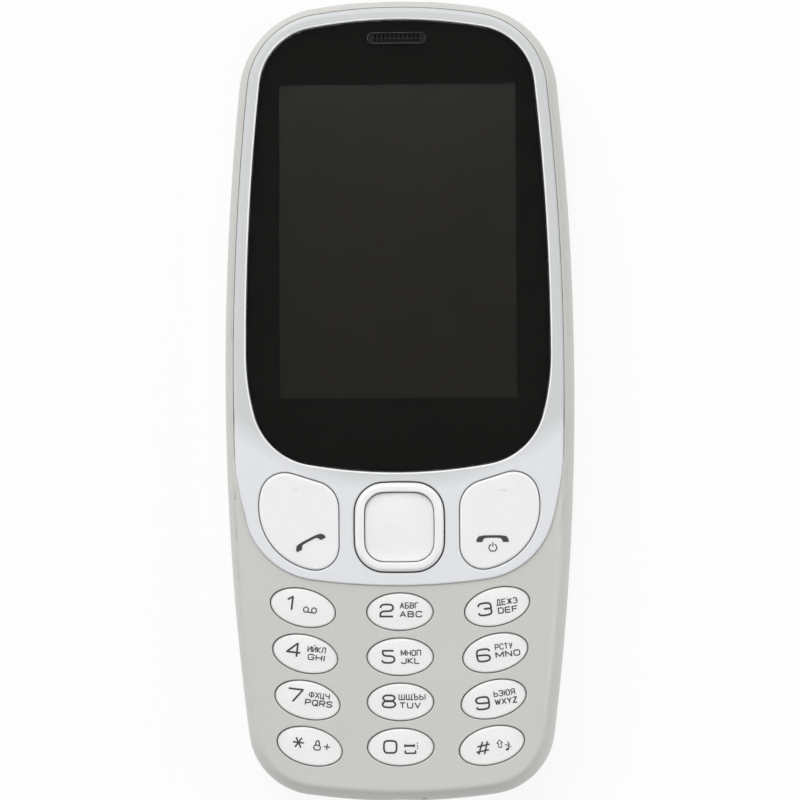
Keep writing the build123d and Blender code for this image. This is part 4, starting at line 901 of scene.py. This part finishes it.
# icons in millimetres about their own middle
iconPaths = {
    "asterisk": [[(-0.80, 0), (0.80, 0)], [(-0.42, -0.70), (0.42, 0.70)], [(-0.42, 0.70), (0.42, -0.70)]],
    "hash": [[(-0.75, -0.84), (0.02, 0.93)], [(0.09, -0.88), (0.72, 0.89)],
             [(-0.83, 0.27), (1.00, 0.45)], [(-1.04, -0.50), (0.79, -0.32)]],
    "voicemail": [[(-0.58, -0.36), (-0.93, -0.36), (-0.93, 0.36), (-0.24, 0.36), (-0.24, -0.36),
                   (-0.58, -0.36)],
                  [(0.58, -0.36), (0.93, -0.36), (0.93, 0.36), (0.24, 0.36), (0.24, -0.36),
                   (0.58, -0.36)],
                  [(-0.58, -0.36), (0.58, -0.36)]],
    "lock": [[(0, -0.68), (0.48, -0.68), (0.48, 0.02), (-0.48, 0.02), (-0.48, -0.68), (0, -0.68)],
             [(-0.27, 0.02), (-0.27, 0.66), (0.27, 0.66), (0.27, 0.02)]],
    "plus": [[(-0.44, 0), (0.44, 0)], [(0, -0.44), (0, 0.44)]],
    "bracket": [[(-0.74, 0.22), (-0.74, -0.20, 0), (0.74, -0.20, 0), (0.74, 0.22)]],
    "arrow": [[(0, 0.56, 0), (0.42, 0.12, 0), (0.20, 0.12, 0), (0.20, -0.52, 0), (-0.20, -0.52, 0),
               (-0.20, 0.12, 0), (-0.42, 0.12, 0), (0, 0.56, 0)]],
    "note": [[(0.06, 0.60), (0.10, -0.40)], [(-0.42, 0.22), (0.46, -0.28)], [(0.08, 0.30), (0.30, 0.10)]],
    "power": [[(-0.28, 0.36), (-0.60, 0.10), (-0.56, -0.46), (0, -0.72), (0.56, -0.46), (0.60, 0.10),
               (0.28, 0.36)],
              [(0, 0.02), (0, 0.64)]],
    "softMark": [[(-0.40, 0), (0.40, 0)]],
}

iconStrokes = {"asterisk": "boldStroke", "hash": "boldStroke", "bracket": "boldStroke", "arrow": "thinStroke",
               "note": "thinStroke"}

# filled shapes in millimetres
iconFills = {
    "handset": [(0, 0.48), (1.60, 0.48), (2.30, 0.20), (2.34, -0.50, 0), (1.50, -0.50, 0), (1.30, 0.02),
                (0.90, 0.12), (-0.90, 0.12), (-1.30, 0.02), (-1.50, -0.50, 0), (-2.34, -0.50, 0),
                (-2.30, 0.20), (-1.60, 0.48)],
    "bar": [(-0.78, 0.26, 0), (-0.60, 0.14), (0.60, 0.14), (0.78, 0.26, 0), (0.78, -0.26, 0), (0.60, -0.14),
            (-0.60, -0.14), (-0.78, -0.26, 0)],
    "noteHead": [(-0.34, -0.10), (0, 0.22), (0.30, 0.14), (0.20, -0.16), (-0.20, -0.24)],
    "dot": [(-0.10, -0.10), (-0.10, 0.10), (0.10, 0.10), (0.10, -0.10)],
}


def softened(path, reach):
    # every corner is cut by that reach, and the spline rounds the cut
    closed = path[0][:2] == path[-1][:2]
    corners = [Vector(point[:2]) for point in path]
    sharp = [len(point) > 2 for point in path]
    if closed:
        corners, sharp = corners[:-1], sharp[:-1]
    points = []
    for index, corner in enumerate(corners):
        if not closed and index in (0, len(corners) - 1):
            points.append(corner)
            continue
        if sharp[index]:
            points += [corner, corner]
            continue
        before = corners[index - 1] - corner
        after = corners[(index + 1) % len(corners)] - corner
        for side in (before, after):
            cut = min(reach, side.length * markSizes["cornerShare"])
            points.append(corner + side.normalized() * cut)
    return points, closed


def finishedMesh(data, name):
    # the mesh that a curve draws; the curve's own object goes again
    holder = linked(name, data)
    bpy.context.view_layer.update()
    shape = bpy.data.meshes.new_from_object(holder.evaluated_get(bpy.context.evaluated_depsgraph_get()))
    bpy.data.objects.remove(holder)
    return shape


def addSpline(line, points, closed):
    spline = line.splines.new("NURBS")
    spline.points.add(len(points) - 1)
    for place, point in zip(spline.points, points):
        place.co = (point[0], point[1], 0, 1)
    spline.order_u = 3
    spline.use_cyclic_u = closed
    spline.use_endpoint_u = not closed


def strokeMesh(name, paths, stroke, corner):
    # round strokes of that width, pressed flat
    line = bpy.data.curves.new(name, "CURVE")
    line.dimensions = "3D"
    line.bevel_depth = stroke / 2
    line.bevel_resolution = 2
    line.resolution_u = 5
    line.use_fill_caps = True
    for path in paths:
        addSpline(line, *softened(path, cornerSizes[corner]))
    shape = finishedMesh(line, name)
    shape.transform(Matrix.Diagonal((1, 1, 2 * markSizes["proud"] / stroke, 1)))
    return shape


def fillMesh(name, outline, corner):
    # a flat shape inside one outline
    line = bpy.data.curves.new(name, "CURVE")
    line.dimensions = "2D"
    line.fill_mode = "BOTH"
    line.extrude = markSizes["proud"]
    line.resolution_u = 5
    addSpline(line, *softened(outline + [outline[0]], cornerSizes[corner]))
    return finishedMesh(line, name)


def scaled(path, x, y):
    return [(point[0] * x, point[1] * y, *point[2:]) for point in path]


def iconMesh(icon, stroke, corner):
    return strokeMesh(icon, [scaled(path, mm, mm) for path in iconPaths[icon]], stroke, corner)


def wordMesh(name, text, width, height, stroke):
    # letters drawn in strokes and spread over the row's width
    room = [letterWidths.get(letter, 1) for letter in text]
    unit = (width - stroke) / (sum(room) + markSizes["letterGap"] * (len(text) - 1))
    paths = []
    left = stroke / 2
    for letter, share in zip(text, room):
        for path in letterPaths[sameLetter.get(letter, letter)]:
            wide = scaled(path, share * unit, height - stroke)
            paths.append([(left + point[0], stroke / 2 + point[1], *point[2:]) for point in wide])
        left += (share + markSizes["letterGap"]) * unit
    return strokeMesh(name, paths, stroke, "letter")


def topOf(name):
    # the height of a node's upper side at a point of the plan
    shape = nodes[name].data
    skin = BVHTree.FromPolygons([vert.co for vert in shape.vertices],
                                [face.vertices for face in shape.polygons])
    def height(x, y):
        hit = skin.ray_cast(Vector((x, y, markSizes["reach"])), Vector((0, 0, -1)))[0]
        return hit.z if hit else 0
    return height


def layMarks(name, key, marks, finish):
    # marks are (mesh, x, y, turn); each is laid on the key and all become one piece
    height = topOf(key)
    built = bmesh.new()
    for shape, x, y, turn in marks:
        shape.transform(Matrix.Translation((x, y, 0)) @ Matrix.Rotation(turn, 4, "Z"))
        built.from_mesh(shape)
        bpy.data.meshes.remove(shape)
    bmesh.ops.remove_doubles(built, verts=built.verts, dist=markSizes["merge"])
    for vert in built.verts:
        vert.co.z += height(vert.co.x, vert.co.y)
    bmesh.ops.recalc_face_normals(built, faces=built.faces)
    newPiece(name, built, "keycap", finish, key)


# what each number key carries, in millimetres from its middle, turned with its column
keyMarks = {
    "key_1": {"digit": (-1.70, 0.50), "icons": [("voicemail", 1.08, -0.20)]},
    "key_2": {"digit": (-1.90, 0.20), "upper": ("АБВГ", -0.02, 0.43, 2.74),
              "lower": ("ABC", -0.05, -0.81, 3.27)},
    "key_3": {"digit": (-1.78, -0.14), "upper": ("ДЕЖЗ", -0.06, 0.12, 3.12),
              "lower": ("DEF", 0.05, -1.08, 2.89)},
    "key_4": {"digit": (-1.71, 0.45), "upper": ("ИЙКЛ", 0.27, 0.33, 2.66),
              "lower": ("GHI", 0.42, -0.80, 2.50)},
    "key_5": {"digit": (-1.74, 0.02), "upper": ("МНОП", 0.08, 0.10, 2.95),
              "lower": ("JKL", 0.12, -1.03, 2.73)},
    "key_6": {"digit": (-1.75, -0.14), "upper": ("РСТУ", 0.02, 0.33, 2.62),
              "lower": ("MNO", -0.02, -0.80, 3.60)},
    "key_7": {"digit": (-1.70, 0.53), "upper": ("ФХЦЧ", 0.12, 0.39, 3.04),
              "lower": ("PQRS", -0.31, -0.73, 3.97)},
    "key_8": {"digit": (-1.65, 0.10), "upper": ("ШЩЪЫ", -0.27, 0.26, 3.89),
              "lower": ("TUV", -0.16, -0.95, 3.11)},
    "key_9": {"digit": (-1.62, -0.38), "upper": ("ЬЭЮЯ", 0.08, 0.26, 3.12),
              "lower": ("WXYZ", 0.10, -0.92, 3.30)},
    "key_star": {"icons": [("asterisk", -1.67, 0.38), ("lock", 1.09, 0.28), ("plus", 2.49, 0.21)]},
    "key_0": {"digit": (-1.50, 0.05), "icons": [("bracket", 1.40, -0.68)],
              "fills": [("bar", 1.28, 0.20), ("dot", 2.42, 0.55), ("dot", 2.42, 0.20), ("dot", 2.42, -0.15)]},
    "key_hash": {"icons": [("hash", -1.28, -0.22), ("arrow", 1.17, 0.08), ("note", 2.31, -0.30)],
                 "fills": [("noteHead", 2.18, -0.78)]},
}
keyColumns = {"pitch": 14 * mm, "turn": math.radians(7)}  # the outer columns' keys are turned


def numberKeyMarks(key, marks):
    low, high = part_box(key)
    middle = (low + high) / 2
    turn = keyColumns["turn"] * round(middle.x / keyColumns["pitch"])
    made = []

    def put(shape, x, y):
        place = Matrix.Rotation(turn, 4, "Z") @ Vector((x * mm, y * mm, 0))
        made.append((shape, middle.x + place.x, middle.y + place.y, turn))

    if "digit" in marks:
        cellX, cellY = markSizes["cell"]
        centred = [[(point[0] - 0.5, point[1] - 0.5, *point[2:]) for point in path]
                   for path in digitPaths[key[-1]]]
        strokes = [scaled(path, cellX, cellY) for path in centred]
        put(strokeMesh(key, strokes, markSizes["digitStroke"], "digit"), *marks["digit"])
    for icon, x, y in marks.get("icons", []):
        put(iconMesh(icon, markSizes[iconStrokes.get(icon, "iconStroke")], "icon"), x, y)
    for icon, x, y in marks.get("fills", []):
        put(fillMesh(icon, scaled(iconFills[icon], mm, mm), "fill"), x, y)
    for row in ("upper", "lower"):
        if row in marks:
            text, x, y, width = marks[row]
            put(wordMesh(text, text, width * mm, *markSizes[row]), x, y)
    layMarks("marks_" + key, key, made, ink)


for key, marks in keyMarks.items():
    numberKeyMarks(key, marks)

sideMarks = {
    "call_key": {"handset": (-12.90, -20.60, 27)},
    "end_key": {"handset": (13.44, -20.29, 0), "power": (13.47, -21.48)},
    "soft": {"call_key": (-15.06, -12.96), "end_key": (15.02, -13.25)},
}


def sideKeyMarks():
    for key in ("call_key", "end_key"):
        x, y, turn = sideMarks[key]["handset"]
        handset = fillMesh("handset", scaled(iconFills["handset"], mm, mm), "side")
        made = [(handset, x * mm, y * mm, math.radians(turn))]
        if "power" in sideMarks[key]:
            x, y = sideMarks[key]["power"]
            made.append((iconMesh("power", markSizes["iconStroke"], "side"), x * mm, y * mm, 0))
        layMarks("marks_" + key, key, made, ink)
        x, y = sideMarks["soft"][key]
        dash = iconMesh("softMark", markSizes["softStroke"], "soft")
        layMarks("soft_mark_" + key, key, [(dash, x * mm, y * mm, 0)], paleInk)


sideKeyMarks()
print("marks laid on the keys")


# floor, light and camera

studio = {
    "ceiling": 0.10,  # the dim ceiling over the camera
    "walls": 0.95,
    "wallTop": (0.25, 0.80),  # the walls fade into the ceiling between these heights
    "nearWall": 0.25,  # the wall at the phone's low end, as a share of the others
    "nearFade": (-0.7, 0.1),
    "floorSize": 6.0,
    "floorDrop": 0.02 * mm,
    "floorWhites": ((240, 240, 240), (243, 243, 243)),
    "floorGlow": 0.88,
    "lamps": {  # place, size and power
        "keyLamp": ((-0.25, 0.56, 0.79), 0.80, 6.0),
        "rightLamp": ((0.70, 0.05, 0.55), 0.50, 1.7),
        "leftLamp": ((-0.75, -0.05, 0.55), 0.50, 1.1),
        "lowLamp": ((0.10, -0.45, 0.85), 0.50, 2.0),
    },
    "lampAim": (0, 0, 0.01),
}


def lensSees(tree):
    # 1 for what the lens, gloss and clear plastic look at
    path = tree.nodes.new("ShaderNodeLightPath")
    seen = path.outputs["Is Camera Ray"]
    for kind in ("Is Glossy Ray", "Is Transmission Ray"):
        seen = worked(tree, "MAXIMUM", seen, path.outputs[kind])
    return seen


def floorPaper():
    # white paper that shows full white to the lens and keeps a soft shadow
    finish, tree, shader = newFinish("floorPaper", Roughness=0.9)
    colored(tree, shader, mottle(tree, 60 * mm), *studio["floorWhites"])
    glow = tree.nodes.new("ShaderNodeEmission")
    mix = tree.nodes.new("ShaderNodeMixShader")
    tree.links.new(worked(tree, "MULTIPLY", lensSees(tree), studio["floorGlow"]), mix.inputs["Fac"])
    tree.links.new(shader.outputs["BSDF"], mix.inputs[1])
    tree.links.new(glow.outputs["Emission"], mix.inputs[2])
    tree.links.new(mix.outputs["Shader"], tree.nodes["Material Output"].inputs["Surface"])
    return finish


def buildFloor():
    built = bmesh.new()
    bmesh.ops.create_grid(built, x_segments=2, y_segments=2, size=studio["floorSize"] / 2)
    bmesh.ops.translate(built, verts=built.verts, vec=(0, 0, cadLow.z - studio["floorDrop"]))
    shaped("floor", built, floorPaper())


def buildWorld():
    # pale walls and a dim ceiling, so that flat gloss stays dark from above
    world = bpy.data.worlds.new("studio")
    bpy.context.scene.world = world
    world.use_nodes = True
    tree = world.node_tree
    coords = tree.nodes.new("ShaderNodeTexCoord")
    split = tree.nodes.new("ShaderNodeSeparateXYZ")
    tree.links.new(coords.outputs["Generated"], split.inputs["Vector"])
    level = between(tree, split.outputs["Z"], studio["walls"], studio["ceiling"], *studio["wallTop"])
    share = between(tree, split.outputs["Y"], studio["nearWall"], 1, *studio["nearFade"])
    level = worked(tree, "MULTIPLY", level, share)
    path = tree.nodes.new("ShaderNodeLightPath")
    mix = tree.nodes.new("ShaderNodeMix")
    ends = {socket.identifier: socket for socket in mix.inputs}
    ends["B_Float"].default_value = 1
    tree.links.new(level, ends["A_Float"])
    tree.links.new(path.outputs["Is Camera Ray"], ends["Factor_Float"])
    strength = {socket.identifier: socket for socket in mix.outputs}["Result_Float"]
    ground = tree.nodes["Background"]
    ground.inputs["Color"].default_value = (1, 1, 1, 1)
    tree.links.new(strength, ground.inputs["Strength"])


def buildLamps():
    for name, (place, size, power) in studio["lamps"].items():
        lamp = bpy.data.lights.new(name, "AREA")
        lamp.shape = "SQUARE"
        lamp.size = size
        lamp.energy = power
        holder = linked(name, lamp)
        holder.matrix_world = lookFrom(place, studio["lampAim"], 0)


def lookFrom(place, aim, roll):
    # where a lamp or lens stands when it looks at a point, rolled by degrees
    forward = (Vector(aim) - Vector(place)).normalized()
    right = forward.cross(Vector((0, 1, 0))).normalized()
    up = right.cross(forward)
    roll = math.radians(roll)
    side = right * math.cos(roll) + up * math.sin(roll)
    top = up * math.cos(roll) - right * math.sin(roll)
    turned = Matrix((side, top, -forward)).transposed().to_4x4()
    return Matrix.Translation(place) @ turned


photoView = {
    "place": (0.023, -0.024, 0.700),
    "aim": (0, 0, 0.006),
    "roll": -0.35,
    "lens": 214.7,
    "sensor": 36,
    "near": 0.02,
}


def buildCamera():
    lens = bpy.data.cameras.new("photoCamera")
    lens.lens = photoView["lens"]
    lens.sensor_width = photoView["sensor"]
    lens.sensor_fit = "HORIZONTAL"
    lens.clip_start = photoView["near"]
    holder = linked("photoCamera", lens)
    holder.matrix_world = lookFrom(photoView["place"], photoView["aim"], photoView["roll"])
    bpy.context.scene.camera = holder


buildFloor()
buildWorld()
buildLamps()
buildCamera()
bpy.context.scene.view_settings.view_transform = "Standard"
print("studio built")
